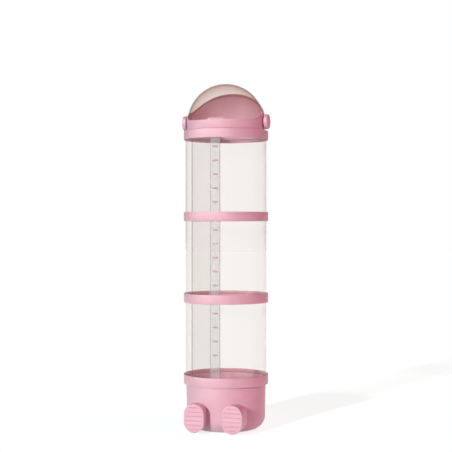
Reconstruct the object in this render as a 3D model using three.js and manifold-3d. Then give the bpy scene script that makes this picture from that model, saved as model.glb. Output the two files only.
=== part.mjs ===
// A floor-standing storage tower of clear rolled sheets, with a footed tub below and a helmet lid on top.
// Units are millimetres, +Z is up, the feet point to -Y, and the origin is on the floor under the tower's axis.
import * as THREE from 'three';
import * as BufferGeometryUtils from 'three/addons/utils/BufferGeometryUtils.js';
import Module from 'manifold-3d';

const wasm = await Module();
wasm.setup();

// Clearances shared by every piece
const seatGap = 0.3;
const slipClearance = 0.8;
const cutOverrun = 2;

// Moulded parts in general
const mouldedWall = 2.5;
const edgeRound = 1;

// Clear sheets, rolled until their ends overlap at the front
const sheetOuterRadius = 159;
const sheetThickness = 1;
const sheetHeight = 315;
const layerGap = 0.3;
const overlapInnerAngle = THREE.MathUtils.degToRad(40.6);
const joggleAngle = THREE.MathUtils.degToRad(14);
const joggleLeadAngle = THREE.MathUtils.degToRad(4);

// Seam strip over the overlap
const stripWidth = 40;
const stripThickness = 0.8;
const stripBottomInset = 17.7;

// Bar-headed snap rivets through strip and sheet
const rivetCount = 5;
const rivetTopInset = 50;
const rivetBottomInset = 53;
const rivetHeadWidth = 19;
const rivetHeadHeight = 5.5;
const rivetHeadThickness = 1.9;
const rivetInnerHeadThickness = 1.4;
const rivetShankWidth = 14;
const rivetShankHeight = 2.6;
const rivetShankClearance = 0.3;

// Joining rings
const ringHeight = 35.5;
const seamClearance = 2.1;
const lipRise = 2;

// Base tub
const tubHeight = 214;
const tubRimHeight = 37;
const tubSocketDepth = 18;
const tubStepIn = 1.2;
const tubTaper = 3.5;
const tubBottomFillet = 50;
const tubFloorThickness = 3;

// Legs and soles
const footWidth = 80;
const footHeight = 109;
const footAngle = THREE.MathUtils.degToRad(28.5);
const footLift = 9.5;
const soleProjection = 40;
const soleThickness = 34;
const soleFaceThickness = 7;
const soleBevel = 3;
const soleBorder = 5;
const grooveCount = 6;
const grooveEndInset = 13;
const grooveHeight = 3.5;
const grooveDepth = 1.5;
const legStepIn = 2;
const legWall = 3;
const plugDepth = 6;
const plugWall = 2.5;

// Screws that hold the legs
const legScrewRadius = 2;
const legScrewHeadRadius = 4.5;
const legScrewHeadThickness = 2.8;
const legScrewLength = 16;
const legScrewClearance = 0.3;
const legScrewHeight = 86;
const legScrewSpacing = 34;
const legBossRadius = 5;
const legBossLength = 14;

// Helmet lid
const collarHeight = 35;
const lidSocketDepth = 16;
const stopRibWidth = 3;
const shoulderThickness = 2.6;
const shoulderRound = 3;
const neckHeight = 34;
const helmetStepIn = 11;
const helmetWall = 2.5;
const openingBackAngle = THREE.MathUtils.degToRad(127);
const earRadius = 41;
const openingFillet = 215;
const openingCornerRound = 80;

// Visor
const visorGap = 1.1;
const visorThickness = 2.3;
const visorFrontAngle = THREE.MathUtils.degToRad(-1.6);
const visorBackAngle = THREE.MathUtils.degToRad(131);
const visorEarRadius = 24;
const visorPadRadius = 13;
const visorPadRise = 1.2;
const tabWidth = 63;
const tabHeight = 6;
const tabReach = 6.5;

// Pivot knobs
const knobRadius = 29;
const knobThickness = 16;
const knobRound = 5;
const knobRecessInner = 13;
const knobRecessOuter = 24;
const knobRecessDepth = 9;
const stemRadius = 8;
const stemClearance = 0.4;
const keyWidth = 10;
const keyClearance = 0.3;
const bossRadius = 17;
const bossRise = 0.6;
const washerRadius = 16;
const washerThickness = 1.5;
const knobScrewRadius = 2;
const knobScrewHeadRadius = 8;
const knobScrewHeadThickness = 3;
const knobScrewLength = 14;
const knobScrewClearance = 0.3;

// Points nearer than this share of their radius count as one
const joinShare = 0.001;

// How finely round shapes are divided
const aroundSteps = 48;
const domeSteps = 11;
const tubFilletSteps = 6;
const filletSteps = 5;
const sweepSteps = 8;
const footEndSteps = 5;
const rivetEndSteps = 2;
const slotEndSteps = 1;
const stripSteps = 4;
const discSteps = 16;
const smallSteps = 8;
const visorSteps = 32;
const visorDomeSteps = 14;

// Sizes that follow from the ones above
const sheetInnerRadius = sheetOuterRadius - sheetThickness;
const outerLayerInner = sheetOuterRadius + layerGap;
const outerLayerOuter = outerLayerInner + sheetThickness;
const stripInnerRadius = outerLayerOuter + seatGap;
const stripOuterRadius = stripInnerRadius + stripThickness;
const ringInnerRadius = stripOuterRadius + seamClearance;
const ringOuterRadius = ringInnerRadius + mouldedWall;
const lipOuterRadius = sheetInnerRadius - slipClearance;
const lipInnerRadius = lipOuterRadius - mouldedWall;
const ringSocketDepth = (ringHeight - mouldedWall) / 2;
const tubTopRadius = lipOuterRadius - tubStepIn;
const tubLedge = tubHeight - tubSocketDepth;
const soleReach = tubTopRadius + soleProjection;
const footCentreOffset = tubTopRadius * Math.sin(footAngle);
const groovePitch = (footHeight - 2 * grooveEndInset) / (grooveCount - 1);
const rivetPitch = (sheetHeight - rivetTopInset - rivetBottomInset) / (rivetCount - 1);
const helmetRadius = ringOuterRadius - helmetStepIn;
const helmetInnerRadius = helmetRadius - helmetWall;
const visorRadius = helmetInnerRadius - visorGap;
const visorInnerRadius = visorRadius - visorThickness;
const visorPadFace = visorInnerRadius - visorPadRise;
const cutterReach = 2 * helmetRadius;

// Heights of the assembled tower
const lowerSheetBottom = tubLedge + seatGap;
const lowerRingBottom = lowerSheetBottom + sheetHeight + seatGap - ringSocketDepth;
const middleSheetBottom = lowerRingBottom + ringSocketDepth + mouldedWall + seatGap;
const upperRingBottom = middleSheetBottom + sheetHeight + seatGap - ringSocketDepth;
const upperSheetBottom = upperRingBottom + ringSocketDepth + mouldedWall + seatGap;
const lidBottom = upperSheetBottom + sheetHeight + seatGap - lidSocketDepth;
const pivotHeight = lidBottom + collarHeight + neckHeight;

const finishes = {
  pink: { color: 0xe9b4c6, roughness: 0.38, metalness: 0 },
  clear: { color: 0xf1efec, roughness: 0.06, metalness: 0, transparent: true, opacity: 0.25 },
  frosted: { color: 0xd8d8d4, roughness: 0.4, metalness: 0, transparent: true, opacity: 0.6 },
  tinted: { color: 0xcdbcab, roughness: 0.08, metalness: 0, transparent: true, opacity: 0.55 },
  nylon: { color: 0xf2f0ea, roughness: 0.5, metalness: 0 },
  steel: { color: 0xb9bcc0, roughness: 0.35, metalness: 1 },
};

const tower = new THREE.Group();

// Solids

// The closed solid of a three.js geometry
function solidOf(geometry) {
  const bare = geometry.clone();
  bare.deleteAttribute('normal');
  bare.deleteAttribute('uv');
  const merged = BufferGeometryUtils.mergeVertices(bare);
  const corners = merged.index.array;
  const kept = [];
  for (let i = 0; i < corners.length; i += 3) {
    const [a, b, c] = corners.slice(i, i + 3);
    if (a !== b && b !== c && c !== a) {
      kept.push(a, b, c);
    }
  }
  return new wasm.Manifold(new wasm.Mesh({
    numProp: 3,
    vertProperties: new Float32Array(merged.attributes.position.array),
    triVerts: new Uint32Array(kept),
  }));
}

// A solid's own geometry again
function geometryOf(solid) {
  const mesh = solid.getMesh();
  const geometry = new THREE.BufferGeometry();
  geometry.setAttribute('position', new THREE.BufferAttribute(new Float32Array(mesh.vertProperties), 3));
  geometry.setIndex(new THREE.BufferAttribute(new Uint32Array(mesh.triVerts), 1));
  geometry.computeVertexNormals();
  return geometry;
}

function addPiece(name, solid, finish) {
  const mesh = new THREE.Mesh(geometryOf(solid), new THREE.MeshStandardMaterial(finishes[finish]));
  mesh.name = name;
  tower.add(mesh);
  return mesh;
}

// Outlines

// The arc that rounds one corner, as points from its start to its end
function cornerArc(before, corner, after, radius, steps) {
  const back = before.clone().sub(corner);
  const ahead = after.clone().sub(corner);
  const longest = Math.min(back.length(), ahead.length()) / 2;
  back.normalize();
  ahead.normalize();
  const half = Math.acos(THREE.MathUtils.clamp(back.dot(ahead), -1, 1)) / 2;
  const reach = Math.min(radius / Math.tan(half), longest);
  const bend = reach * Math.tan(half);
  const middle = back.clone().add(ahead).normalize().multiplyScalar(bend / Math.sin(half)).add(corner);
  const start = back.clone().multiplyScalar(reach).add(corner);
  const side = Math.sign(back.cross(ahead));
  const sweep = (Math.PI - 2 * half) * -side;
  const points = [];
  for (let i = 0; i <= steps; i += 1) {
    points.push(start.clone().rotateAround(middle, (sweep * i) / steps));
  }
  return points;
}

// An outline from corners { x, y, round, steps }; a closed one comes back to its first point
function outline(corners, closed) {
  const places = corners.map(({ x, y }) => new THREE.Vector2(x, y));
  const count = places.length;
  const points = [];
  corners.forEach(({ round, steps = 2 }, i) => {
    if (round) {
      const before = places[(i + count - 1) % count];
      const after = places[(i + 1) % count];
      points.push(...cornerArc(before, places[i], after, round, steps));
    } else {
      points.push(places[i]);
    }
  });
  if (closed) {
    points.push(points[0].clone());
  }
  return points;
}

// Points on a circle about the origin, from one angle to another, angles measured from +x
function arcPoints(radius, from, to, steps) {
  const points = [];
  for (let i = 0; i <= steps; i += 1) {
    const angle = from + ((to - from) * i) / steps;
    points.push(new THREE.Vector2(radius * Math.cos(angle), radius * Math.sin(angle)));
  }
  return points;
}

// A slot shape with round ends, taller or wider than it is wide or tall
function slotShape(width, height, steps = rivetEndSteps) {
  const radius = Math.min(width, height) / 2;
  const alongX = width / 2 - radius;
  const alongY = height / 2 - radius;
  const quarter = Math.PI / 2;
  const points = [];
  [[1, 1], [-1, 1], [-1, -1], [1, -1]].forEach(([signX, signY], i) => {
    arcPoints(radius, quarter * i, quarter * (i + 1), steps).forEach((point) => {
      points.push(new THREE.Vector2(point.x + signX * alongX, point.y + signY * alongY));
    });
  });
  const distinct = points.filter((point, i) => {
    const next = points[(i + 1) % points.length];
    return point.distanceTo(next) > radius * joinShare;
  });
  return new THREE.Shape(distinct);
}

// Turned and extruded solids

// A profile of radius and height turned about the tower's axis
function turned(profile, steps = aroundSteps) {
  return solidOf(new THREE.LatheGeometry(profile, steps).rotateX(Math.PI / 2));
}

// A profile of radius and distance turned about the X axis
function turnedAboutX(profile, steps = discSteps) {
  return solidOf(new THREE.LatheGeometry(profile, steps).rotateZ(-Math.PI / 2));
}

function cylinderProfile(radius, from, to) {
  return [
    new THREE.Vector2(0, from),
    new THREE.Vector2(radius, from),
    new THREE.Vector2(radius, to),
    new THREE.Vector2(0, to),
  ];
}

// A shape in X and Z extruded along Y, from its back plane towards the front by a depth
function extrudedForward(shape, backY, depth, bevel = 0) {
  const geometry = new THREE.ExtrudeGeometry(shape, {
    depth,
    bevelEnabled: false,
    steps: 1,
  });
  if (bevel > 0) {
    bevelFrontEdge(geometry, depth, bevel);
  }
  return solidOf(geometry.rotateX(Math.PI / 2).translate(0, backY, 0));
}

// Pulls the front outline of an extrusion inwards by the bevel
function bevelFrontEdge(geometry, depth, bevel) {
  const position = geometry.attributes.position;
  const box = new THREE.Box3().setFromBufferAttribute(position);
  const size = box.getSize(new THREE.Vector3());
  for (let i = 0; i < position.count; i += 1) {
    if (position.getZ(i) > depth / 2) {
      position.setX(i, position.getX(i) * (1 - (2 * bevel) / size.x));
      position.setY(i, position.getY(i) * (1 - (2 * bevel) / size.y));
    }
  }
}

// A side-view shape, x towards the front and y up, extruded across the whole width
function extrudedAcross(shape, width) {
  const geometry = new THREE.ExtrudeGeometry(shape, { depth: width, bevelEnabled: false, steps: 1 });
  geometry.translate(0, 0, -width / 2);
  const turn = new THREE.Matrix4().makeBasis(
    new THREE.Vector3(0, -1, 0),
    new THREE.Vector3(0, 0, 1),
    new THREE.Vector3(-1, 0, 0),
  );
  return solidOf(geometry.applyMatrix4(turn));
}

function boxSolid(width, depth, height, x, y, z) {
  return solidOf(new THREE.BoxGeometry(width, depth, height).translate(x, y, z));
}

// Turns a solid about the tower's axis; 180 degrees takes the right side to the left
function turnedRound(solid, degrees) {
  return solid.rotate([0, 0, degrees]);
}

// Base tub

// The tub's outer face from its bottom to its rim, grown by a gap
function tubOuterCorners(gap = 0) {
  const footRadius = tubTopRadius - tubTaper;
  return [
    { x: 0, y: -gap },
    { x: footRadius + gap, y: -gap, round: tubBottomFillet + gap, steps: tubFilletSteps },
    { x: tubTopRadius + gap, y: tubHeight - tubRimHeight },
  ];
}

// The same face as a solid, which the legs are cut with
function tubEnvelope(gap) {
  return turned(outline([...tubOuterCorners(gap), { x: 0, y: tubHeight - tubRimHeight }], false));
}

function makeTub() {
  const rimBottom = tubHeight - tubRimHeight;
  const webBottom = tubLedge - mouldedWall;
  const tubInner = tubTopRadius - mouldedWall;
  const profile = outline([
    ...tubOuterCorners(),
    { x: tubTopRadius, y: webBottom },
    { x: ringInnerRadius, y: webBottom },
    { x: ringInnerRadius, y: rimBottom },
    { x: ringOuterRadius, y: rimBottom },
    { x: ringOuterRadius, y: tubHeight, round: edgeRound, steps: 1 },
    { x: ringInnerRadius, y: tubHeight },
    { x: ringInnerRadius, y: tubLedge },
    { x: lipOuterRadius, y: tubLedge },
    { x: lipOuterRadius, y: tubLedge + lipRise },
    { x: tubInner, y: tubLedge + lipRise },
    { x: tubInner, y: rimBottom },
    {
      x: tubInner - tubTaper,
      y: tubFloorThickness,
      round: tubBottomFillet - mouldedWall,
      steps: tubFilletSteps,
    },
    { x: 0, y: tubFloorThickness },
  ], false);
  let tub = turned(profile);
  legScrewPlaces().forEach(({ angle }) => {
    const hole = radialCylinder(legScrewRadius + legScrewClearance, tubInner - tubTaper - mouldedWall,
      tubTopRadius + cutOverrun, angle, legScrewHeight);
    tub = tub.subtract(hole);
  });
  return tub;
}

// Legs, soles and their screws

// The tub's outer radius at the height of the leg screws
function tubRadiusAtScrews() {
  const share = legScrewHeight / (tubHeight - tubRimHeight);
  return tubTopRadius - tubTaper * (1 - share);
}

// Angles of the leg screws, measured from the front towards +X
function legScrewPlaces() {
  const half = legScrewSpacing / 2 / tubTopRadius;
  const places = [];
  [-1, 1].forEach((side) => {
    [-1, 1].forEach((step, i) => {
      places.push({ side, number: i + 1, angle: side * (footAngle + step * half) });
    });
  });
  return places;
}

// A cylinder that points out from the tower's axis, between two radii
function radialCylinder(radius, from, to, angle, height) {
  const geometry = new THREE.LatheGeometry(cylinderProfile(radius, from, to), smallSteps);
  geometry.rotateZ(-Math.PI / 2).rotateZ(angle - Math.PI / 2).translate(0, 0, height);
  return solidOf(geometry);
}

function footShape(inset) {
  return slotShape(footWidth - 2 * inset, footHeight - 2 * inset, footEndSteps);
}

function makeLeg(side) {
  const soleBack = soleReach - soleThickness;
  const legFront = soleBack - seatGap;
  const centreX = side * footCentreOffset;
  const centreZ = footHeight / 2 + footLift;
  const outer = extrudedForward(footShape(legStepIn), 0, legFront).translate([centreX, 0, centreZ]);
  const inner = extrudedForward(footShape(legStepIn + legWall), 0, legFront + cutOverrun)
    .translate([centreX, 0, centreZ]);
  const cavity = inner.subtract(tubEnvelope(seatGap + legWall));
  let leg = outer.subtract(tubEnvelope(seatGap)).subtract(cavity);
  const wallRadius = tubRadiusAtScrews();
  legScrewPlaces().filter((place) => place.side === side).forEach(({ angle }) => {
    const from = wallRadius + seatGap + legWall / 2;
    leg = leg.add(radialCylinder(legBossRadius, from, wallRadius + legBossLength, angle, legScrewHeight));
  });
  legScrewPlaces().filter((place) => place.side === side).forEach(({ angle }) => {
    leg = leg.subtract(radialCylinder(legScrewRadius + legScrewClearance, wallRadius - cutOverrun,
      wallRadius + legBossLength + cutOverrun, angle, legScrewHeight));
  });
  return leg;
}

function makeSole(side) {
  const centreX = side * footCentreOffset;
  const centreZ = footHeight / 2 + footLift;
  const soleBack = soleReach - soleThickness;
  const plugInset = legStepIn + legWall + seatGap;
  const body = extrudedForward(footShape(0), -soleBack, soleThickness - soleBevel);
  const bevelled = extrudedForward(footShape(0), -(soleReach - soleBevel), soleBevel, soleBevel);
  const plug = extrudedForward(footShape(plugInset), -(soleBack - plugDepth), plugDepth);
  const hollow = extrudedForward(footShape(plugInset + plugWall), -(soleBack - plugDepth - cutOverrun),
    soleThickness + plugDepth + cutOverrun - soleFaceThickness);
  let sole = body.add(bevelled).add(plug).subtract(hollow);
  for (let i = 0; i < grooveCount; i += 1) {
    const height = (i - (grooveCount - 1) / 2) * groovePitch;
    sole = sole.subtract(grooveCutter(height));
  }
  return sole.translate([centreX, 0, centreZ]);
}

// One groove across the sole, as long as the border leaves at its height
function grooveCutter(height) {
  const radius = footWidth / 2 - soleBorder;
  const straight = footHeight / 2 - footWidth / 2;
  const beyond = Math.max(Math.abs(height) + grooveHeight / 2 - straight, 0);
  const half = Math.sqrt(radius * radius - beyond * beyond);
  return boxSolid(2 * half, 2 * grooveDepth, grooveHeight, 0, -soleReach, height);
}

function makeLegScrew(angle) {
  const inside = tubRadiusAtScrews() - mouldedWall - cutOverrun / 2;
  const headBack = inside - seatGap;
  const head = radialCylinder(legScrewHeadRadius, headBack - legScrewHeadThickness, headBack, angle,
    legScrewHeight);
  const shank = radialCylinder(legScrewRadius, headBack - legScrewHeadThickness / 2,
    headBack + legScrewLength, angle, legScrewHeight);
  return head.add(shank);
}

// Clear sheets and their seams

// A point at a radius and an angle from the front, towards +X
function polar(radius, angle) {
  return new THREE.Vector2(radius * Math.sin(angle), -radius * Math.cos(angle));
}

// The first edge lies on a facet's edge, and a facet faces the front, so that both layers' facets agree
const stepAngle = (2 * Math.PI) / aroundSteps;
const sheetFirstAngle = -(Math.round(overlapInnerAngle / stepAngle - 1 / 2) + 1 / 2) * stepAngle;

// How far the rolled sheet has stepped out over its own first layer
function joggle(angle) {
  const full = 2 * Math.PI + sheetFirstAngle - joggleLeadAngle;
  const share = THREE.MathUtils.clamp((angle - (full - joggleAngle)) / joggleAngle, 0, 1);
  return (sheetThickness + layerGap) * share;
}

function makeSheet(bottom) {
  const last = 2 * Math.PI + stripWidth / 2 / stripInnerRadius;
  const outside = [];
  const inside = [];
  for (let i = 0; i <= Math.ceil((last - sheetFirstAngle) / stepAngle); i += 1) {
    const angle = Math.min(sheetFirstAngle + stepAngle * i, last);
    const step = joggle(angle);
    outside.push(polar(sheetOuterRadius + step, angle));
    inside.push(polar(sheetInnerRadius + step, angle));
  }
  const shape = new THREE.Shape([...outside, ...inside.reverse()]);
  const geometry = new THREE.ExtrudeGeometry(shape, { depth: sheetHeight, bevelEnabled: false, steps: 1 });
  return cutRivetSlots(solidOf(geometry.translate(0, 0, bottom)), bottom);
}

function makeStrip(bottom) {
  const half = stripWidth / 2 / stripInnerRadius;
  const outside = [];
  const inside = [];
  for (let i = 0; i <= stripSteps; i += 1) {
    const angle = -half + (2 * half * i) / stripSteps;
    outside.push(polar(stripOuterRadius, angle));
    inside.push(polar(stripInnerRadius, angle));
  }
  const shape = new THREE.Shape([...outside, ...inside.reverse()]);
  const depth = sheetHeight - stripBottomInset;
  const geometry = new THREE.ExtrudeGeometry(shape, { depth, bevelEnabled: false, steps: 1 });
  return cutRivetSlots(solidOf(geometry.translate(0, 0, bottom + stripBottomInset)), bottom);
}

// Heights of the rivets on a sheet, from the top one down
function rivetHeights(bottom) {
  const heights = [];
  for (let i = 0; i < rivetCount; i += 1) {
    heights.push(bottom + sheetHeight - rivetTopInset - rivetPitch * i);
  }
  return heights;
}

function cutRivetSlots(solid, bottom) {
  const width = rivetShankWidth + 2 * rivetShankClearance;
  const height = rivetShankHeight + 2 * rivetShankClearance;
  const shape = slotShape(width, height, slotEndSteps);
  const back = sheetInnerRadius - cutOverrun;
  const slot = extrudedForward(shape, -back, stripOuterRadius + cutOverrun - back);
  return rivetHeights(bottom).reduce((cut, place) => cut.subtract(slot.translate([0, 0, place])), solid);
}

function makeRivet(height) {
  const headBack = stripOuterRadius + seatGap;
  const innerFace = sheetInnerRadius * Math.cos(stepAngle / 2) - seatGap;
  const innerBack = innerFace - rivetInnerHeadThickness;
  const head = extrudedForward(slotShape(rivetHeadWidth, rivetHeadHeight), -headBack, rivetHeadThickness);
  const shank = extrudedForward(slotShape(rivetShankWidth, rivetShankHeight, slotEndSteps),
    -(innerBack + rivetInnerHeadThickness / 2), headBack + rivetHeadThickness / 2 - innerBack
    - rivetInnerHeadThickness / 2);
  const innerHead = extrudedForward(slotShape(rivetHeadWidth, rivetHeadHeight), -innerBack,
    rivetInnerHeadThickness);
  return head.add(shank).add(innerHead).translate([0, 0, height]);
}

// Joining ring: an outer wall, a web in the middle and a lip that the sheets slip over

function makeRing(bottom) {
  const webBottom = bottom + ringSocketDepth;
  const webTop = webBottom + mouldedWall;
  const top = bottom + ringHeight;
  const profile = outline([
    { x: ringOuterRadius, y: bottom, round: edgeRound, steps: 1 },
    { x: ringOuterRadius, y: top, round: edgeRound, steps: 1 },
    { x: ringInnerRadius, y: top },
    { x: ringInnerRadius, y: webTop },
    { x: lipOuterRadius, y: webTop },
    { x: lipOuterRadius, y: webTop + lipRise },
    { x: lipInnerRadius, y: webTop + lipRise },
    { x: lipInnerRadius, y: webBottom - lipRise },
    { x: lipOuterRadius, y: webBottom - lipRise },
    { x: lipOuterRadius, y: webBottom },
    { x: ringInnerRadius, y: webBottom },
    { x: ringInnerRadius, y: bottom },
  ], true);
  return turned(profile);
}

// Helmet shell

// Points of a dome about the pivot, from a height below it to its top
function domePoints(radius, fromBelow, steps) {
  const start = -Math.asin(fromBelow / radius);
  return arcPoints(radius, start, Math.PI / 2, steps).map((point) => {
    return new THREE.Vector2(point.x < radius * joinShare ? 0 : point.x, point.y + pivotHeight);
  });
}

function makeHelmetBody() {
  const collarTop = lidBottom + collarHeight;
  const shoulderUnder = collarTop - shoulderThickness;
  const stopHeight = lidBottom + lidSocketDepth;
  const innerDrop = neckHeight + shoulderThickness;
  const inner = domePoints(helmetInnerRadius, innerDrop, domeSteps).reverse();
  const outer = domePoints(helmetRadius, neckHeight, domeSteps);
  const collar = outline([
    { x: inner[inner.length - 1].x, y: shoulderUnder },
    { x: lipInnerRadius, y: shoulderUnder },
    { x: lipInnerRadius, y: stopHeight - lipRise },
    { x: lipOuterRadius, y: stopHeight - lipRise },
    { x: lipOuterRadius, y: stopHeight },
    { x: lipOuterRadius + stopRibWidth, y: stopHeight },
    { x: lipOuterRadius + stopRibWidth, y: shoulderUnder },
    { x: ringInnerRadius, y: shoulderUnder },
    { x: ringInnerRadius, y: lidBottom },
    { x: ringOuterRadius, y: lidBottom, round: edgeRound, steps: 1 },
    { x: ringOuterRadius, y: collarTop, round: shoulderRound },
    { x: outer[0].x, y: collarTop },
  ], false);
  return turned([...inner, ...collar.slice(1, -1), ...outer]);
}

// The face opening seen from the side: a wedge over the pivot, less the round ear about it, which sweeps
// down to the front of the neck
function openingShape() {
  const far = cutterReach;
  const fillet = openingFillet;
  const filletX = Math.sqrt((earRadius + fillet) ** 2 - fillet ** 2);
  const startAngle = Math.atan2(fillet, filletX);
  const round = openingCornerRound;
  const cornerAngle = openingBackAngle - Math.asin(round / (earRadius + round));
  const cornerMiddle = new THREE.Vector2(earRadius + round, 0).rotateAround(new THREE.Vector2(), cornerAngle);
  const corner = arcPoints(round, openingBackAngle + Math.PI / 2, cornerAngle + Math.PI, sweepSteps)
    .map((point) => point.add(cornerMiddle));
  const ear = arcPoints(earRadius, cornerAngle, startAngle, discSteps / 2);
  const sweep = arcPoints(fillet, startAngle + Math.PI, (3 * Math.PI) / 2, sweepSteps)
    .map((point) => new THREE.Vector2(point.x + filletX, point.y + fillet));
  const points = [...corner, ...ear.slice(1), ...sweep.slice(1)];
  points.push(new THREE.Vector2(far, 0));
  points.push(new THREE.Vector2(far, far));
  points.push(new THREE.Vector2(far * Math.cos(openingBackAngle), far));
  points.push(new THREE.Vector2(far * Math.cos(openingBackAngle), far * Math.sin(openingBackAngle)));
  return new THREE.Shape(points);
}

function makeHelmet() {
  const opening = extrudedAcross(openingShape(), 2 * cutterReach).translate([0, 0, pivotHeight]);
  let helmet = makeHelmetBody().subtract(opening);
  [1, -1].forEach((side) => {
    const boss = atPivot(turnedAboutX(cylinderProfile(bossRadius, helmetInnerRadius + helmetWall / 2,
      helmetRadius + bossRise)), side);
    const bore = atPivot(turnedAboutX(cylinderProfile(stemRadius + stemClearance,
      visorInnerRadius, helmetRadius + cutOverrun)), side);
    helmet = helmet.add(boss).subtract(bore);
  });
  return helmet;
}

// Puts a solid made about the X axis on the pivot, on the right or the left
function atPivot(solid, side) {
  const placed = side > 0 ? solid : turnedRound(solid, 180);
  return placed.translate([0, 0, pivotHeight]);
}

// Visor

function visorShape() {
  const far = cutterReach;
  const points = [];
  points.push(new THREE.Vector2(far * Math.cos(visorFrontAngle), far * Math.sin(visorFrontAngle)));
  points.push(new THREE.Vector2(far, far));
  points.push(new THREE.Vector2(far * Math.cos(visorBackAngle), far));
  points.push(new THREE.Vector2(far * Math.cos(visorBackAngle), far * Math.sin(visorBackAngle)));
  points.push(...arcPoints(visorEarRadius, visorBackAngle, 2 * Math.PI + visorFrontAngle, discSteps / 2));
  return new THREE.Shape(points);
}

function sphereAboutX(radius) {
  const points = arcPoints(radius, -Math.PI / 2, Math.PI / 2, visorDomeSteps);
  points[0].x = 0;
  points[points.length - 1].x = 0;
  return turnedAboutX(points, visorSteps);
}

function makeVisor() {
  const shell = sphereAboutX(visorRadius).subtract(sphereAboutX(visorInnerRadius));
  const wedge = extrudedAcross(visorShape(), 2 * cutterReach);
  const tabOuter = visorRadius + tabReach;
  const tabBlock = boxSolid(tabWidth, helmetRadius, tabHeight, 0, -(tabOuter - helmetRadius / 2),
    seatGap + tabHeight / 2);
  const tab = tabBlock.intersect(turned(cylinderProfile(tabOuter, 0, 2 * tabHeight)))
    .subtract(sphereAboutX((visorRadius + visorInnerRadius) / 2));
  let visor = shell.intersect(wedge).add(tab);
  const pad = turnedAboutX(cylinderProfile(visorPadRadius, visorPadFace, visorRadius - visorThickness / 2));
  [0, 180].forEach((degrees) => {
    const hole = boxSolid(visorRadius, keyWidth + 2 * keyClearance, keyWidth + 2 * keyClearance,
      visorRadius, 0, 0);
    visor = visor.add(turnedRound(pad, degrees)).subtract(turnedRound(hole, degrees));
  });
  return visor.translate([0, 0, pivotHeight]);
}

// Knobs, washers and screws on the pivot

const washerInnerFace = helmetRadius + bossRise + seatGap;
const knobInnerFace = washerInnerFace + washerThickness + seatGap;
const knobOuterFace = knobInnerFace + knobThickness;
const stemShoulder = visorRadius + seatGap;
const keyEnd = visorPadFace + seatGap / 2;

function makeKnob(side) {
  const profile = outline([
    { x: 0, y: stemShoulder },
    { x: stemRadius, y: stemShoulder },
    { x: stemRadius, y: knobInnerFace },
    { x: knobRecessInner, y: knobInnerFace },
    { x: knobRecessInner, y: knobInnerFace + knobRecessDepth },
    { x: knobRecessOuter, y: knobInnerFace + knobRecessDepth },
    { x: knobRecessOuter, y: knobInnerFace },
    { x: knobRadius, y: knobInnerFace, round: edgeRound, steps: 1 },
    { x: knobRadius, y: knobOuterFace, round: knobRound, steps: 3 },
    { x: 0, y: knobOuterFace },
  ], false);
  const keyLength = stemShoulder - keyEnd;
  const key = boxSolid(2 * keyLength, keyWidth, keyWidth, stemShoulder, 0, 0);
  const bore = turnedAboutX(cylinderProfile(knobScrewRadius + knobScrewClearance, keyEnd - cutOverrun,
    keyEnd + knobScrewLength + cutOverrun), smallSteps);
  return atPivot(turnedAboutX(profile).add(key).subtract(bore), side);
}

function makeKnobWasher(side) {
  const profile = outline([
    { x: stemRadius + stemClearance, y: washerInnerFace },
    { x: washerRadius, y: washerInnerFace },
    { x: washerRadius, y: washerInnerFace + washerThickness },
    { x: stemRadius + stemClearance, y: washerInnerFace + washerThickness },
  ], true);
  return atPivot(turnedAboutX(profile), side);
}

function makeKnobScrew(side) {
  const headBack = visorPadFace - seatGap;
  const profile = outline([
    { x: 0, y: headBack - knobScrewHeadThickness },
    { x: knobScrewHeadRadius, y: headBack - knobScrewHeadThickness, round: edgeRound, steps: 2 },
    { x: knobScrewHeadRadius, y: headBack },
    { x: knobScrewRadius, y: headBack },
    { x: knobScrewRadius, y: headBack + knobScrewLength },
    { x: 0, y: headBack + knobScrewLength },
  ], false);
  return atPivot(turnedAboutX(profile, 2 * smallSteps), side);
}

// Assembly

addPiece('base_tub', makeTub(), 'pink');
[[-1, 'left'], [1, 'right']].forEach(([side, word]) => {
  addPiece(`${word}_leg`, makeLeg(side), 'pink');
  addPiece(`${word}_sole`, makeSole(side), 'pink');
  legScrewPlaces().filter((place) => place.side === side).forEach(({ number, angle }) => {
    addPiece(`${word}_leg_screw_${number}`, makeLegScrew(angle), 'steel');
  });
  addPiece(`${word}_knob`, makeKnob(side), 'pink');
  addPiece(`${word}_knob_washer`, makeKnobWasher(side), 'nylon');
  addPiece(`${word}_knob_screw`, makeKnobScrew(side), 'steel');
});

[['lower', lowerSheetBottom], ['middle', middleSheetBottom], ['upper', upperSheetBottom]]
  .forEach(([word, bottom]) => {
    addPiece(`${word}_sheet`, makeSheet(bottom), 'clear');
    addPiece(`${word}_seam_strip`, makeStrip(bottom), 'frosted');
    rivetHeights(bottom).forEach((height, i) => {
      addPiece(`${word}_rivet_${i + 1}`, makeRivet(height), 'pink');
    });
  });

addPiece('lower_ring', makeRing(lowerRingBottom), 'pink');
addPiece('upper_ring', makeRing(upperRingBottom), 'pink');
addPiece('helmet_shell', makeHelmet(), 'pink');
addPiece('visor', makeVisor(), 'tinted');

export default tower;
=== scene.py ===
"""The looks of a clear storage tower: a footed tub, rolled tubes, joining rings and a helmet lid.

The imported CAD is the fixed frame. Each visible piece is modelled here with Blender's own tools, in the
place and at the size of its CAD node, and rides on that node's body. Sizes are in millimetres until a mesh
is made. Left is -X, the front is -Y and up is +Z.
"""
import logging
import math
from contextlib import contextmanager
from dataclasses import dataclass
from enum import Enum
from typing import Any, Callable, Iterator, Sequence, Union

import bmesh
import bpy
from mathutils import Matrix, Vector


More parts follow.
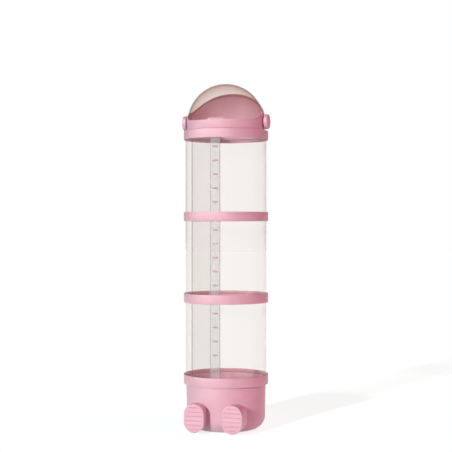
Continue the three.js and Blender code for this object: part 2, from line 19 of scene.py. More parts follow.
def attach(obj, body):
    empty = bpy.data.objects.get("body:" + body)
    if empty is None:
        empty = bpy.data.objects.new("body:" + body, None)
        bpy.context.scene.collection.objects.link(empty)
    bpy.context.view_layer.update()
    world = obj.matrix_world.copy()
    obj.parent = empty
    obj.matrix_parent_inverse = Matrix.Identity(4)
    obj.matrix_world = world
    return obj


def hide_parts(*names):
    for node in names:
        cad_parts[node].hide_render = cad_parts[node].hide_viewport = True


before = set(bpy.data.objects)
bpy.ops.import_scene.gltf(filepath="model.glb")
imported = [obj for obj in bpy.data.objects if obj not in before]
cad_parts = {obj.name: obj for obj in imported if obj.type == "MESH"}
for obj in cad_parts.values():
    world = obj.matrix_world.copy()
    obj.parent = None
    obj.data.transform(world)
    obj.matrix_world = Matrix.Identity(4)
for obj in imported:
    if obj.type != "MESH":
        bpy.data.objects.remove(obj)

LOG = logging.getLogger("tower")
MM = 0.001
TOUCH = 0.001 * MM          # points nearer than this are one point
FACING = 0.9                # a normal's least share along the axis that its face looks along
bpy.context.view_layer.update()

WHITE = (1.0, 1.0, 1.0, 1.0)
NOISE_SPAN = (0.3, 0.7)     # where soft noise nearly always lies
PAN_ROUND = 0.7             # a pan head's rounding, as a share of its thickness
RECESS_DEPTH = 1.2          # its cross recess, both halves together, as a share of the thickness
RECESS_WIDTH, RECESS_SLOT = 1.1, 0.24       # and its arms, as shares of the head's radius
SLIM_STEPS = 24             # points round a rivet's head or a groove
ARC_STEPS = 24              # stretches of an arc in the side view
SCREW_STEPS = 32
DISC_STEPS = 48
WASHER_STEPS = 64
KNOB_STEPS = 96
BALL_STEPS = 120            # stretches round a ball
BALL_ROWS = 56              # and from pole to pole
MIX_SHARE, MIX_START, MIX_END, MIX_COLOUR = 0, 6, 7, 2      # a mix node's sockets for colours

Span = tuple[float, float]
Feed = Union[bpy.types.NodeSocket, float, tuple[float, ...]]


class Body(Enum):
    """The CAD bodies that pieces ride on."""

    BASE = "base"
    LOWER_SHEET = "lower_sheet"
    LOWER_RING = "lower_ring"
    MIDDLE_SHEET = "middle_sheet"
    UPPER_RING = "upper_ring"
    UPPER_SHEET = "upper_sheet"
    LID = "lid"
    VISOR = "visor"


class Slot(Enum):
    """The record's material slots."""

    PINK_ABS = "pink_abs"
    RIVET_PINK = "rivet_pink"
    CLEAR_SHEET = "clear_sheet"
    FROSTED_STRIP = "frosted_strip"
    SMOKE_VISOR = "smoke_visor"
    WHITE_NYLON = "white_nylon"
    SCREW_STEEL = "screw_steel"


class Carve(Enum):
    """What a Boolean modifier does."""

    CUT = "DIFFERENCE"
    JOIN = "UNION"
    KEEP = "INTERSECT"


class Axis(Enum):
    """The axes that profiles are spun about."""

    X = (1.0, 0.0, 0.0)
    Z = (0.0, 0.0, 1.0)


class Side(Enum):
    """The tower's two sides, with the sign of X there."""

    LEFT = -1
    RIGHT = 1

    @property
    def word(self) -> str:
        """The side's name in piece names."""
        return self.name.lower()


# Colours and shader nodes


def linear(colour: str) -> tuple[float, float, float, float]:
    """Turns an sRGB hex colour to linear light.

    Args:
        colour: A colour such as "#e7aec1".

    Returns:
        Red, green, blue and an alpha of 1.
    """
    channels = []
    for start in (1, 3, 5):
        value = int(colour[start:start + 2], 16) / 255
        channels.append(value / 12.92 if value <= 0.04045 else ((value + 0.055) / 1.055) ** 2.4)
    return (channels[0], channels[1], channels[2], 1.0)


def add_node(tree: bpy.types.NodeTree, kind: str, values: dict[Any, Any] | None = None) -> bpy.types.Node:
    """Adds a node with its settings and links.

    Args:
        tree: The node tree.
        kind: The node's type.
        values: Settings by the name of a property, or by the name or number of an input. A socket is linked.

    Returns:
        The new node.
    """
    node = tree.nodes.new(kind)
    for key, value in (values or {}).items():
        if isinstance(value, bpy.types.NodeSocket):
            tree.links.new(value, node.inputs[key])
        elif isinstance(key, str) and key not in node.inputs:
            setattr(node, key, value)
        else:
            node.inputs[key].default_value = value
    return node


def object_place(tree: bpy.types.NodeTree) -> bpy.types.NodeSocket:
    """The place on the piece that is shaded.

    Args:
        tree: The material's node tree.

    Returns:
        The socket that holds its Object coordinates.
    """
    return add_node(tree, "ShaderNodeTexCoord").outputs["Object"]


def arithmetic(tree: bpy.types.NodeTree, operation: str, *terms: Feed,
               clamp: bool = False) -> bpy.types.NodeSocket:
    """Adds a sum on numbers and sockets.

    Args:
        tree: The node tree.
        operation: What is done to the terms.
        *terms: The terms in order.
        clamp: Whether the result is kept between 0 and 1.

    Returns:
        The socket that holds the result.
    """
    values = {"operation": operation, "use_clamp": clamp, **dict(enumerate(terms))}
    return add_node(tree, "ShaderNodeMath", values).outputs["Value"]


def remap(tree: bpy.types.NodeTree, value: bpy.types.NodeSocket, span: Span, to: Span = (0.0, 1.0),
          fade: str = "LINEAR") -> bpy.types.NodeSocket:
    """Maps one span of a value to another, and holds it at both ends.

    Args:
        tree: The node tree.
        value: What is mapped.
        span: The span of the value.
        to: What that span becomes.
        fade: The interpolation between the two ends.

    Returns:
        The socket that holds the result.
    """
    return add_node(tree, "ShaderNodeMapRange", {
        "interpolation_type": fade, "Value": value,
        "From Min": span[0], "From Max": span[1], "To Min": to[0], "To Max": to[1],
    }).outputs["Result"]


def blend(tree: bpy.types.NodeTree, share: Feed, start: Feed, end: Feed) -> bpy.types.NodeSocket:
    """Mixes two colours.

    Args:
        tree: The node tree.
        share: How much of the second one there is.
        start: The first one, as linear light or a socket.
        end: The second one.

    Returns:
        The socket that holds the mixed colour.
    """
    values = {"data_type": "RGBA", MIX_SHARE: share, MIX_START: start, MIX_END: end}
    return add_node(tree, "ShaderNodeMix", values).outputs[MIX_COLOUR]


def noise(tree: bpy.types.NodeTree, place: bpy.types.NodeSocket, size: float,
          detail: float = 2.0) -> bpy.types.NodeSocket:
    """Adds soft noise.

    Args:
        tree: The node tree.
        place: Where it is looked up.
        size: About how large its features are, in millimetres.
        detail: How many finer layers it has.

    Returns:
        The socket that holds it.
    """
    values = {"Scale": 1 / (size * MM), "Detail": detail, "Vector": place}
    return add_node(tree, "ShaderNodeTexNoise", values).outputs["Fac"]


def relief(tree: bpy.types.NodeTree, height: bpy.types.NodeSocket, strength: float,
           depth: float) -> bpy.types.NodeSocket:
    """Gives a skin shallow relief.

    Args:
        tree: The node tree.
        height: The relief's height.
        strength: How much of it is seen.
        depth: How deep it is, in millimetres.

    Returns:
        The socket that holds the skin's normal.
    """
    values = {"Strength": strength, "Distance": depth * MM, "Height": height}
    return add_node(tree, "ShaderNodeBump", values).outputs["Normal"]


def principled(tree: bpy.types.NodeTree, values: dict[str, Any]) -> bpy.types.NodeSocket:
    """Adds a solid material's shader.

    Args:
        tree: The node tree.
        values: Its settings and links.

    Returns:
        The shader's socket.
    """
    return add_node(tree, "ShaderNodeBsdfPrincipled", values).outputs["BSDF"]


def see_through(tree: bpy.types.NodeTree, tint: Feed, skin: bpy.types.NodeSocket,
                share: bpy.types.NodeSocket) -> bpy.types.NodeSocket:
    """Lays a skin over a body that light goes straight through.

    Args:
        tree: The node tree.
        tint: The colour that the light takes on.
        skin: The skin's shader.
        share: How much of the skin is seen.

    Returns:
        The shader's socket.
    """
    through = add_node(tree, "ShaderNodeBsdfTransparent", {"Color": tint}).outputs["BSDF"]
    return add_node(tree, "ShaderNodeMixShader", {0: share, 1: through, 2: skin}).outputs["Shader"]


def outer_gloss(tree: bpy.types.NodeTree, ior: float, normal: bpy.types.NodeSocket, body: float,
                strength: float = 1.0) -> bpy.types.NodeSocket:
    """How much of a clear wall's outer skin is seen, by its slant, plus what its body holds back.

    The inner side of each skin gets none, because a see-through shader doesn't bend light, so a slanted ray
    would count as wholly mirrored there.

    Args:
        tree: The material's node tree.
        ior: The wall's index of refraction.
        normal: The skin's normal.
        body: The share that the wall's own haze hides, whatever the slant.
        strength: How much of the mirrored share is kept.

    Returns:
        The socket that holds the share.
    """
    slant = add_node(tree, "ShaderNodeFresnel", {"IOR": ior, "Normal": normal}).outputs["Fac"]
    back = add_node(tree, "ShaderNodeNewGeometry").outputs["Backfacing"]
    mirrored = arithmetic(tree, "MULTIPLY", slant, arithmetic(tree, "SUBTRACT", 1.0, back))
    return arithmetic(tree, "MULTIPLY_ADD", mirrored, strength, body, clamp=True)


@dataclass(frozen=True)
class Finish:
    """A surface finish that makes its material once."""

    name: str

    def material(self) -> bpy.types.Material:
        """Makes the material, or returns the one already made.

        Returns:
            The material.
        """
        made = bpy.data.materials.get(self.name)
        if made is None:
            made = bpy.data.materials.new(self.name)
            made.use_nodes = True
            made.node_tree.nodes.clear()
            shader = self.build(made.node_tree)
            add_node(made.node_tree, "ShaderNodeOutputMaterial", {"Surface": shader})
        return made

    def build(self, tree: bpy.types.NodeTree) -> bpy.types.NodeSocket:
        """Adds the finish's nodes.

        Args:
            tree: The material's node tree.

        Returns:
            The shader's socket.
        """
        raise NotImplementedError


@dataclass(frozen=True)
class MouldedAbs(Finish):
    """ABS from a satin-eroded mould: coloured through, with a broad pale sheen and a faint orange peel."""

    colour: str = "#dcb5c2"
    deep: str = "#d7adbb"
    # edge is the colour of the painted highlight on outer edges, and the colour after it is the painted shade
    # in grooves and corners
    edge: str = "#ebcdd7"
    crevice_shade: str = "#bd7488"
    cloud: float = 70.0
    cloud_span: Span = (0.35, 0.65)
    highlight_span: Span = (0.52, 0.6)
    highlight_share: float = 0.55
    crevice_shade_span: Span = (0.48, 0.42)
    crevice_shade_share: float = 0.75
    patch: float = 14.0
    roughness: Span = (0.44, 0.52)
    gloss: float = 1.0
    skin: float = 0.6
    skin_ior: float = 1.7
    skin_roughness: float = 0.55
    peel: float = 2.2
    peel_strength: float = 0.5
    peel_depth: float = 0.05
    glow: float = 0.06
    glow_depth: float = 3.0
    ior: float = 1.53

    def build(self, tree: bpy.types.NodeTree) -> bpy.types.NodeSocket:
        """Adds the moulded colour, its drift, painted highlights on edges, painted shade in crevices and the
        orange peel.

        Args:
            tree: The material's node tree.

        Returns:
            The shader's socket.
        """
        place = object_place(tree)
        # Pigment drifts a little over a hand's width, as masterbatch does when it is not fully mixed
        drift = remap(tree, noise(tree, place, self.cloud), self.cloud_span)
        colour = blend(tree, drift, linear(self.colour), linear(self.deep))
        # Outer edges are painted paler: a painted highlight where they would catch the light
        shape = add_node(tree, "ShaderNodeNewGeometry").outputs["Pointiness"]
        painted_highlight = remap(tree, shape, self.highlight_span, (0.0, self.highlight_share))
        colour = blend(tree, painted_highlight, colour, linear(self.edge))
        # Grooves and inner corners are painted darker: painted shade where less light would reach them
        painted_shade = remap(tree, shape, self.crevice_shade_span, (0.0, self.crevice_shade_share))
        colour = blend(tree, painted_shade, colour, linear(self.crevice_shade))
        # The mould's erosion is uneven, so some patches are duller than others
        rough = remap(tree, noise(tree, place, self.patch, 3.0), NOISE_SPAN, self.roughness)
        # The eroded texture is about 0.1 mm in life, and is drawn coarser so that it shows at all
        peel = noise(tree, place, self.peel)
        return principled(tree, {
            "IOR": self.ior, "Specular IOR Level": self.gloss, "Subsurface Weight": self.glow,
            "Subsurface Scale": self.glow_depth * MM, "Coat Weight": self.skin, "Coat IOR": self.skin_ior,
            "Coat Roughness": self.skin_roughness, "Base Color": colour, "Roughness": rough,
            "Normal": relief(tree, peel, self.peel_strength, self.peel_depth),
        })


@dataclass(frozen=True)
class ClearSheet(Finish):
    """Clear PET sheet: a faint warm body, mirror-like at a slant, and the soft waves a rolled sheet keeps."""

    tint: str = "#fdfcfb"
    haze: str = "#e6f1ef"
    haze_share: float = 0.012
    roughness: float = 0.07
    skin: float = 0.65
    wave_across: float = 45.0
    wave_along: float = 260.0
    wave_strength: float = 0.6
    wave_depth: float = 0.9
    ior: float = 1.5

    def build(self, tree: bpy.types.NodeTree) -> bpy.types.NodeSocket:
        """Adds the see-through body, the slanting gloss, and long waves that run up the tube.

        Args:
            tree: The material's node tree.

        Returns:
            The shader's socket.
        """
        stretched = add_node(tree, "ShaderNodeMapping", {
            "Scale": (1.0, 1.0, self.wave_across / self.wave_along), "Vector": object_place(tree),
        }).outputs["Vector"]
        wave = noise(tree, stretched, self.wave_across, 1.0)
        normal = relief(tree, wave, self.wave_strength, self.wave_depth)
        gloss = principled(tree, {
            "Base Color": linear(self.haze), "Roughness": self.roughness, "IOR": self.ior, "Normal": normal,
        })
        share = outer_gloss(tree, self.ior, normal, self.haze_share, self.skin)
        return see_through(tree, linear(self.tint), gloss, share)


@dataclass(frozen=True)
class FrostedStrip(Finish):
    """Frosted polypropylene strip: milky, with a fine extruded grain along its length."""

    tint: str = "#fbfcfc"
    milk: str = "#e0ebe9"
    milk_share: float = 0.19
    milk_spread: float = 0.05
    roughness: float = 0.42
    grain: float = 1.2
    grain_stretch: float = 0.02
    grain_strength: float = 0.4
    grain_depth: float = 0.05
    ior: float = 1.49

    def build(self, tree: bpy.types.NodeTree) -> bpy.types.NodeSocket:
        """Adds the milky body, the light it lets through, and the extruded grain.

        Args:
            tree: The material's node tree.

        Returns:
            The shader's socket.
        """
        stretched = add_node(tree, "ShaderNodeMapping", {
            "Scale": (1.0, 1.0, self.grain_stretch), "Vector": object_place(tree),
        }).outputs["Vector"]
        grain = noise(tree, stretched, self.grain)
        share = remap(tree, grain, NOISE_SPAN,
                      (self.milk_share - self.milk_spread, self.milk_share + self.milk_spread))
        milk = principled(tree, {
            "Base Color": linear(self.milk), "Roughness": self.roughness, "IOR": self.ior,
            "Normal": relief(tree, grain, self.grain_strength, self.grain_depth),
        })
        return see_through(tree, linear(self.tint), milk, share)


@dataclass(frozen=True)
class SmokeVisor(Finish):
    """Smoke-tinted polycarbonate: warm grey light through it, darker where the wall is looked along."""

    tint: str = "#fdfbfb"
    slant_tint: str = "#ede0d7"
    slant: float = 0.28
    body: str = "#b9aa98"
    body_share: float = 0.02
    roughness: float = 0.16
    flow: float = 55.0
    flow_strength: float = 0.3
    flow_depth: float = 0.3
    ior: float = 1.58

    def build(self, tree: bpy.types.NodeTree) -> bpy.types.NodeSocket:
        """Adds the tint that deepens at a slant, the polished skin and a trace of haze.

        Args:
            tree: The material's node tree.

        Returns:
            The shader's socket.
        """
        facing = add_node(tree, "ShaderNodeLayerWeight", {"Blend": self.slant}).outputs["Facing"]
        tint = blend(tree, facing, linear(self.tint), linear(self.slant_tint))
        flow = noise(tree, object_place(tree), self.flow, 1.0)
        normal = relief(tree, flow, self.flow_strength, self.flow_depth)
        skin = principled(tree, {
            "Base Color": linear(self.body), "Roughness": self.roughness, "IOR": self.ior, "Normal": normal,
        })
        return see_through(tree, tint, skin, outer_gloss(tree, self.ior, normal, self.body_share))


@dataclass(frozen=True)
class TurnedNylon(Finish):
    """White nylon washers: matt and waxy, with light sinking a little way in."""

    colour: str = "#f0eee8"
    roughness: float = 0.5
    marks: float = 0.8
    marks_strength: float = 0.3
    marks_depth: float = 0.03
    glow: float = 0.15
    glow_depth: float = 2.0
    ior: float = 1.53

    def build(self, tree: bpy.types.NodeTree) -> bpy.types.NodeSocket:
        """Adds the waxy body and its fine turning marks.

        Args:
            tree: The material's node tree.

        Returns:
            The shader's socket.
        """
        marks = noise(tree, object_place(tree), self.marks)
        return principled(tree, {
            "Base Color": linear(self.colour), "Roughness": self.roughness, "IOR": self.ior,
            "Subsurface Weight": self.glow, "Subsurface Scale": self.glow_depth * MM,
            "Normal": relief(tree, marks, self.marks_strength, self.marks_depth),
        })


@dataclass(frozen=True)
class ZincSteel(Finish):
    """Zinc-plated screws: bluish bright metal with faint spangle."""

    light: str = "#c9cdd2"
    dark: str = "#9ea3aa"
    spangle: float = 1.1
    roughness: Span = (0.24, 0.42)

    def build(self, tree: bpy.types.NodeTree) -> bpy.types.NodeSocket:
        """Adds the plated metal and its spangle.

        Args:
            tree: The material's node tree.

        Returns:
            The shader's socket.
        """
        spangle = add_node(tree, "ShaderNodeTexVoronoi", {
            "Scale": 1 / (self.spangle * MM), "Vector": object_place(tree),
        }).outputs["Distance"]
        return principled(tree, {
            "Metallic": 1.0, "Base Color": blend(tree, spangle, linear(self.light), linear(self.dark)),
            "Roughness": remap(tree, spangle, (0.0, 1.0), self.roughness),
        })


@dataclass(frozen=True)
class StudioPaper(Finish):
    """Pale studio paper. Its shadow stays, and what is looked at of it is lifted to white.

    The colour looked at is the opposite of the warm fill, so that the two together are neutral.
    """

    colour: str = "#d8d8d8"
    looked_at: str = "#b2dccf"
    lift: float = 0.745

    def build(self, tree: bpy.types.NodeTree) -> bpy.types.NodeSocket:
        """Adds matt paper and the lift that only looking at it sees.

        Args:
            tree: The material's node tree.

        Returns:
            The shader's socket.
        """
        path = add_node(tree, "ShaderNodeLightPath").outputs
        mirrored = arithmetic(tree, "MAXIMUM", path["Is Glossy Ray"], path["Is Transmission Ray"])
        looked_at = arithmetic(tree, "MAXIMUM", path["Is Camera Ray"], mirrored)
        glow = add_node(tree, "ShaderNodeEmission", {
            "Color": WHITE, "Strength": arithmetic(tree, "MULTIPLY", looked_at, self.lift),
        }).outputs["Emission"]
        colour = blend(tree, looked_at, linear(self.colour), linear(self.looked_at))
        paper = add_node(tree, "ShaderNodeBsdfDiffuse", {"Color": colour}).outputs["BSDF"]
        return add_node(tree, "ShaderNodeAddShader", {0: paper, 1: glow}).outputs["Shader"]


PINK = MouldedAbs("satin moulded pink ABS")
RIVET = MouldedAbs("snap rivet ABS", colour="#d0afb6", deep="#c8a5ad", edge="#e2cfd4", cloud=12.0, gloss=0.5,
                   skin=0.0)
# The face opening's cut edge is painted pale: a painted highlight.
EDGE_HIGHLIGHT = MouldedAbs("rubbed cut edge of pink ABS", colour="#f3dde4", deep="#eed5dd", edge="#f8e8ed",
                    cloud=12.0)
# The soles' grooves are painted darker: painted shade.
GROOVE_SHADE = MouldedAbs("dusty groove in pink ABS", colour="#dba7b6", deep="#d39cac", edge="#e2b5c2",
                    crevice_shade="#cd92a4", cloud=12.0, gloss=0.4, skin=0.0)
CLEAR = ClearSheet("clear PET sheet")
DOUBLED = ClearSheet("clear PET sheet, doubled at the seam", tint="#f8f7f6", haze_share=0.02)
FROSTED = FrostedStrip("frosted polypropylene strip")
CUT_EDGE = FrostedStrip("cut edge of the PET sheet", tint="#d0d4d2", milk="#7c8886", milk_share=0.85,
                        grain=0.5)
PRESSED_EDGE = FrostedStrip("pressed edge of the frosted strip", tint="#ecedec", milk="#c4ceca",
                            milk_share=0.3)
SCORE = FrostedStrip("score line in the PET sheet", tint="#e6e7e5", milk="#aab2ae", milk_share=0.3)
THICK_TAB = FrostedStrip("smoke polycarbonate in a thick section", tint="#eadcdc", milk="#ecdcdd",
                         milk_share=0.65, grain=3.0)
SMOKE = SmokeVisor("smoke polycarbonate")
NYLON = TurnedNylon("turned white nylon")
ZINC = ZincSteel("zinc plated steel")
PAPER = StudioPaper("white studio paper")


# Modelling by hand, in code


def deselect_all() -> None:
    """Leaves edit mode and deselects every object."""
    if bpy.context.mode != "OBJECT":
        bpy.ops.object.mode_set(mode="OBJECT")
    bpy.ops.object.select_all(action="DESELECT")


def make_active(piece: bpy.types.Object) -> None:
    """Selects one object alone and makes it active.

    Args:
        piece: The object.
    """
    deselect_all()
    piece.select_set(True)
    bpy.context.view_layer.objects.active = piece


@contextmanager
def editing(piece: bpy.types.Object) -> Iterator[None]:
    """Puts a piece in edit mode with all of it selected, and leaves edit mode afterwards.

    Args:
        piece: The object to edit.

    Yields:
        Nothing.
    """
    make_active(piece)
    bpy.ops.object.mode_set(mode="EDIT")
    bpy.ops.mesh.select_mode(type="VERT")
    bpy.ops.mesh.select_all(action="SELECT")
    try:
        yield
    finally:
        bpy.ops.object.mode_set(mode="OBJECT")


def pick_points(test: Callable[[Vector], bool]) -> int:
    """Selects the points of the edited mesh that pass a test, and deselects the rest.

    Args:
        test: Whether a place, in metres, is wanted.

    Returns:
        How many were selected.
    """
    bpy.ops.mesh.select_mode(type="VERT")
    bpy.ops.mesh.select_all(action="DESELECT")
    mesh = bpy.context.edit_object.data
    shape = bmesh.from_edit_mesh(mesh)
    count = 0
    for point in shape.verts:
        if test(point.co):
            point.select = True
            count += 1
    shape.select_flush_mode()
    bmesh.update_edit_mesh(mesh)
    return count


def pick_faces(test: Callable[[Vector, Vector], bool]) -> int:
    """Selects the faces of the edited mesh that pass a test, and deselects the rest.

    Args:
        test: Whether a face is wanted, from its centre and its normal.

    Returns:
        How many were selected.
    """
    bpy.ops.mesh.select_mode(type="FACE")
    bpy.ops.mesh.select_all(action="DESELECT")
    mesh = bpy.context.edit_object.data
    shape = bmesh.from_edit_mesh(mesh)
    shape.normal_update()
    count = 0
    for face in shape.faces:
        if test(face.calc_center_median(), face.normal):
            face.select = True
            count += 1
    shape.select_flush_mode()
    bmesh.update_edit_mesh(mesh)
    return count


def face_outwards() -> None:
    """Selects all of the edited mesh and turns its faces outwards."""
    bpy.ops.mesh.select_all(action="SELECT")
    bpy.ops.mesh.normals_make_consistent(inside=False)


def pull(offset: Vector) -> None:
    """Extrudes what is selected.

    Args:
        offset: How far and which way, in metres.
    """
    bpy.ops.mesh.extrude_region_move(TRANSFORM_OT_translate={"value": tuple(offset)})


@dataclass(frozen=True)
class Corner:
    """One corner of a profile, in millimetres, with the radius that rounds it."""

    x: float
    z: float
    round: float = 0.0
    steps: int = 4

    @property
    def place(self) -> Vector:
        """The corner in the XZ plane, in metres."""
        return Vector((self.x * MM, 0.0, self.z * MM))


def draw_line(name: str, places: Sequence[Vector], closed: bool = False) -> bpy.types.Object:
    """Draws a line of straight stretches by pulling one point from place to place.

    Args:
        name: The new object's name.
        places: Where the line goes, in metres.
        closed: Whether its end joins its start.

    Returns:
        The object, left in object mode.
    """
    deselect_all()
    bpy.ops.mesh.primitive_plane_add(size=MM, location=(0.0, 0.0, 0.0))
    piece = bpy.context.object
    piece.name = piece.data.name = name
    with editing(piece):
        bpy.ops.mesh.merge(type="CENTER")
        bpy.ops.transform.translate(value=tuple(places[0]))
        for before, after in zip(places, places[1:]):
            pull(after - before)
        if closed:
            ends = (places[0], places[-1])
            pick_points(lambda place: min((place - end).length for end in ends) < TOUCH)
            bpy.ops.mesh.edge_face_add()
    return piece


def draw_profile(name: str, corners: Sequence[Corner], closed: bool = False) -> bpy.types.Object:
    """Draws a profile in the XZ plane and rounds its corners with the bevel tool.

    Args:
        name: The new object's name.
        corners: The corners in order.
        closed: Whether the profile is a ring.

    Returns:
        The object.
    """
    piece = draw_line(name, [corner.place for corner in corners], closed)
    count = len(corners)
    with editing(piece):
        for i, corner in enumerate(corners):
            if not corner.round:
                continue
            back = corners[i - 1].place - corner.place
            ahead = corners[(i + 1) % count].place - corner.place
            half = back.angle(ahead) / 2
            pick_points(lambda place, here=corner.place: (place - here).length < TOUCH)
            width = corner.round * MM / math.tan(half)
            bpy.ops.mesh.bevel(offset=width, segments=corner.steps, affect="VERTICES")
    return piece


def smooth(piece: bpy.types.Object, angle: float = 32.0) -> bpy.types.Object:
    """Shades a piece smooth where its faces meet at less than an angle in degrees.

    Args:
        piece: The object.
        angle: The angle, in degrees.

    Returns:
        The same object.
    """
    make_active(piece)
    bpy.ops.object.shade_smooth_by_angle(angle=math.radians(angle))
    return piece


def spin_round(piece: bpy.types.Object, steps: int, axis: Axis = Axis.Z) -> bpy.types.Object:
    """Spins a profile into a closed solid about an axis through the origin.

    Args:
        piece: The object that holds the profile.
        steps: How many steps make the turn.
        axis: The axis that it turns about.

    Returns:
        The same object.
    """
    with editing(piece):
        bpy.ops.mesh.spin(steps=steps, angle=math.tau, center=(0.0, 0.0, 0.0), axis=axis.value)
        bpy.ops.mesh.select_all(action="SELECT")
        bpy.ops.mesh.remove_doubles(threshold=TOUCH)
        bpy.ops.mesh.normals_make_consistent(inside=False)
    return piece


def apply_modifier(piece: bpy.types.Object, kind: str, **settings: Any) -> None:
    """Adds a modifier with its settings and applies it.

    Args:
        piece: The object.
        kind: The modifier's type.
        **settings: The modifier's properties.
    """
    make_active(piece)
    modifier = piece.modifiers.new(kind.lower(), kind)
    for key, value in settings.items():
        setattr(modifier, key, value)
    bpy.ops.object.modifier_apply(modifier=modifier.name)


def carve(piece: bpy.types.Object, tool: bpy.types.Object, how: Carve, keep_tool: bool = False) -> None:
    """Cuts, joins or keeps a piece's overlap with a tool solid.

    Args:
        piece: The object that changes.
        tool: The solid that changes it.
        how: Whether it cuts, joins, or keeps the overlap.
        keep_tool: Whether the tool is needed again.
    """
    apply_modifier(piece, "BOOLEAN", operation=how.value, solver="EXACT", object=tool)
    if not keep_tool:
        bpy.data.objects.remove(tool)


def copy_piece(piece: bpy.types.Object, name: str, placing: Matrix) -> bpy.types.Object:
    """Copies a piece with a mesh of its own, and puts the mesh in its place.

    Args:
        piece: The object to copy.
        name: The copy's name.
        placing: Where the copy goes, seen from the original.

    Returns:
        The copy.
    """
    twin = piece.copy()
    twin.data = piece.data.copy()
    twin.name = twin.data.name = name
    bpy.context.scene.collection.objects.link(twin)
    twin.data.transform(placing)
    if placing.determinant() < 0:
        twin.data.flip_normals()
    return twin


def stadium(name: str, width: float, height: float, steps: int, centre: Vector) -> bpy.types.Object:
    """Makes a flat stadium that faces the front, from a circle pulled apart.

    Args:
        name: The new object's name.
        width: Its width in millimetres.
        height: Its height in millimetres.
        steps: How many points its circle has, a multiple of 4.
        centre: Its middle, in metres.

    Returns:
        The object, a single face towards -Y.
    """
    radius = min(width, height) / 2
    stretch = Vector((max(width - height, 0.0), 0.0, max(height - width, 0.0))) * (MM / 2)
    deselect_all()
    bpy.ops.mesh.primitive_circle_add(vertices=steps, radius=radius * MM, fill_type="NGON")
    piece = bpy.context.object
    piece.name = piece.data.name = name
    piece.data.transform(Matrix.Rotation(math.radians(90), 4, "X") @ Matrix.Rotation(math.pi / steps, 4, "Z"))
    with editing(piece):
        pick_points(lambda place: place.dot(stretch) > 0)
        bpy.ops.transform.translate(value=tuple(stretch))
        pick_points(lambda place: place.dot(stretch) < 0)
        bpy.ops.transform.translate(value=tuple(-stretch))
        bpy.ops.mesh.select_all(action="SELECT")
        bpy.ops.transform.translate(value=tuple(centre))
    return piece


def block(name: str, size: Sequence[float], centre: Sequence[float], bevel: float = 0.0) -> bpy.types.Object:
    """Makes a block with bevelled edges.

    Args:
        name: The new object's name.
        size: Its sides in millimetres.
        centre: Its middle in millimetres.
        bevel: How wide its bevels are, in millimetres.

    Returns:
        The object.
    """
    deselect_all()
    bpy.ops.mesh.primitive_cube_add(size=1.0)
    piece = bpy.context.object
    piece.name = piece.data.name = name
    with editing(piece):
        bpy.ops.transform.resize(value=tuple(side * MM for side in size))
        bpy.ops.transform.translate(value=tuple(value * MM for value in centre))
        if bevel:
            bpy.ops.mesh.bevel(offset=bevel * MM, segments=3, affect="EDGES")
    return piece


def refinish(piece: bpy.types.Object, finish: Finish, wanted: Callable[[Vector, Vector], bool]) -> None:
    """Gives some faces of a dressed piece a finish of their own.

    Args:
        piece: The dressed object.
        finish: What those faces are like.
        wanted: Whether a face is one of them, from its centre in metres and its normal.
    """
    piece.data.materials.append(finish.material())
    for face in piece.data.polygons:
        if wanted(face.center, face.normal):
            face.material_index = len(piece.data.materials) - 1


def dress(piece: bpy.types.Object, finish: Finish, body: Body, slot: Slot, *nodes: str) -> bpy.types.Object:
    """Gives a piece its finish and its place in the frame.

    Args:
        piece: The object.
        finish: What it is made of.
        body: The body it rides on.
        slot: The record's slot for its finish; not used.
        *nodes: The CAD nodes that it stands for.

    Returns:
        The same object.
    """
    piece.data.materials.clear()
    piece.data.materials.append(finish.material())
    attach(piece, body.value)
    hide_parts(*nodes)
    LOG.info("%s: %d faces, %s", piece.name, len(piece.data.polygons), finish.name)
    return piece


# Sub-assemblies


@dataclass(frozen=True)
class TowerSizes:
    """Sizes that several sub-assemblies share, in millimetres."""

    gap: float = 0.3
    wall: float = 2.5
    edge: float = 1.0
    sheet_radius: float = 159.0
    sheet_thickness: float = 1.0
    sheet_height: float = 315.0
    layer_gap: float = 0.3
    strip_thickness: float = 0.8
    seam_clearance: float = 2.1
    slip: float = 0.8
    lip_rise: float = 2.0
    lip_round: float = 0.6
    mouth_round: float = 0.8
    around: int = 144
    lower_sheet: float = 196.3
    lower_ring: float = 495.1
    middle_sheet: float = 514.4
    upper_ring: float = 813.2
    upper_sheet: float = 832.5
    lid: float = 1131.8
    pivot: float = 1200.8

    @property
    def strip_inner(self) -> float:
        """The radius of the seam strip's inner face."""
        return self.sheet_radius + self.layer_gap + self.sheet_thickness + self.gap

    @property
    def ring_inner(self) -> float:
        """The radius of the inside of the rings' outer walls."""
        return self.strip_inner + self.strip_thickness + self.seam_clearance

    @property
    def ring_outer(self) -> float:
        """The radius of the rings, the tub's rim and the lid's collar."""
        return self.ring_inner + self.wall

    @property
    def lip_outer(self) -> float:
        """The radius that the sheets slip over."""
        return self.sheet_radius - self.sheet_thickness - self.slip

    @property
    def lip_inner(self) -> float:
        """The radius of the clear way through the rings."""
        return self.lip_outer - self.wall


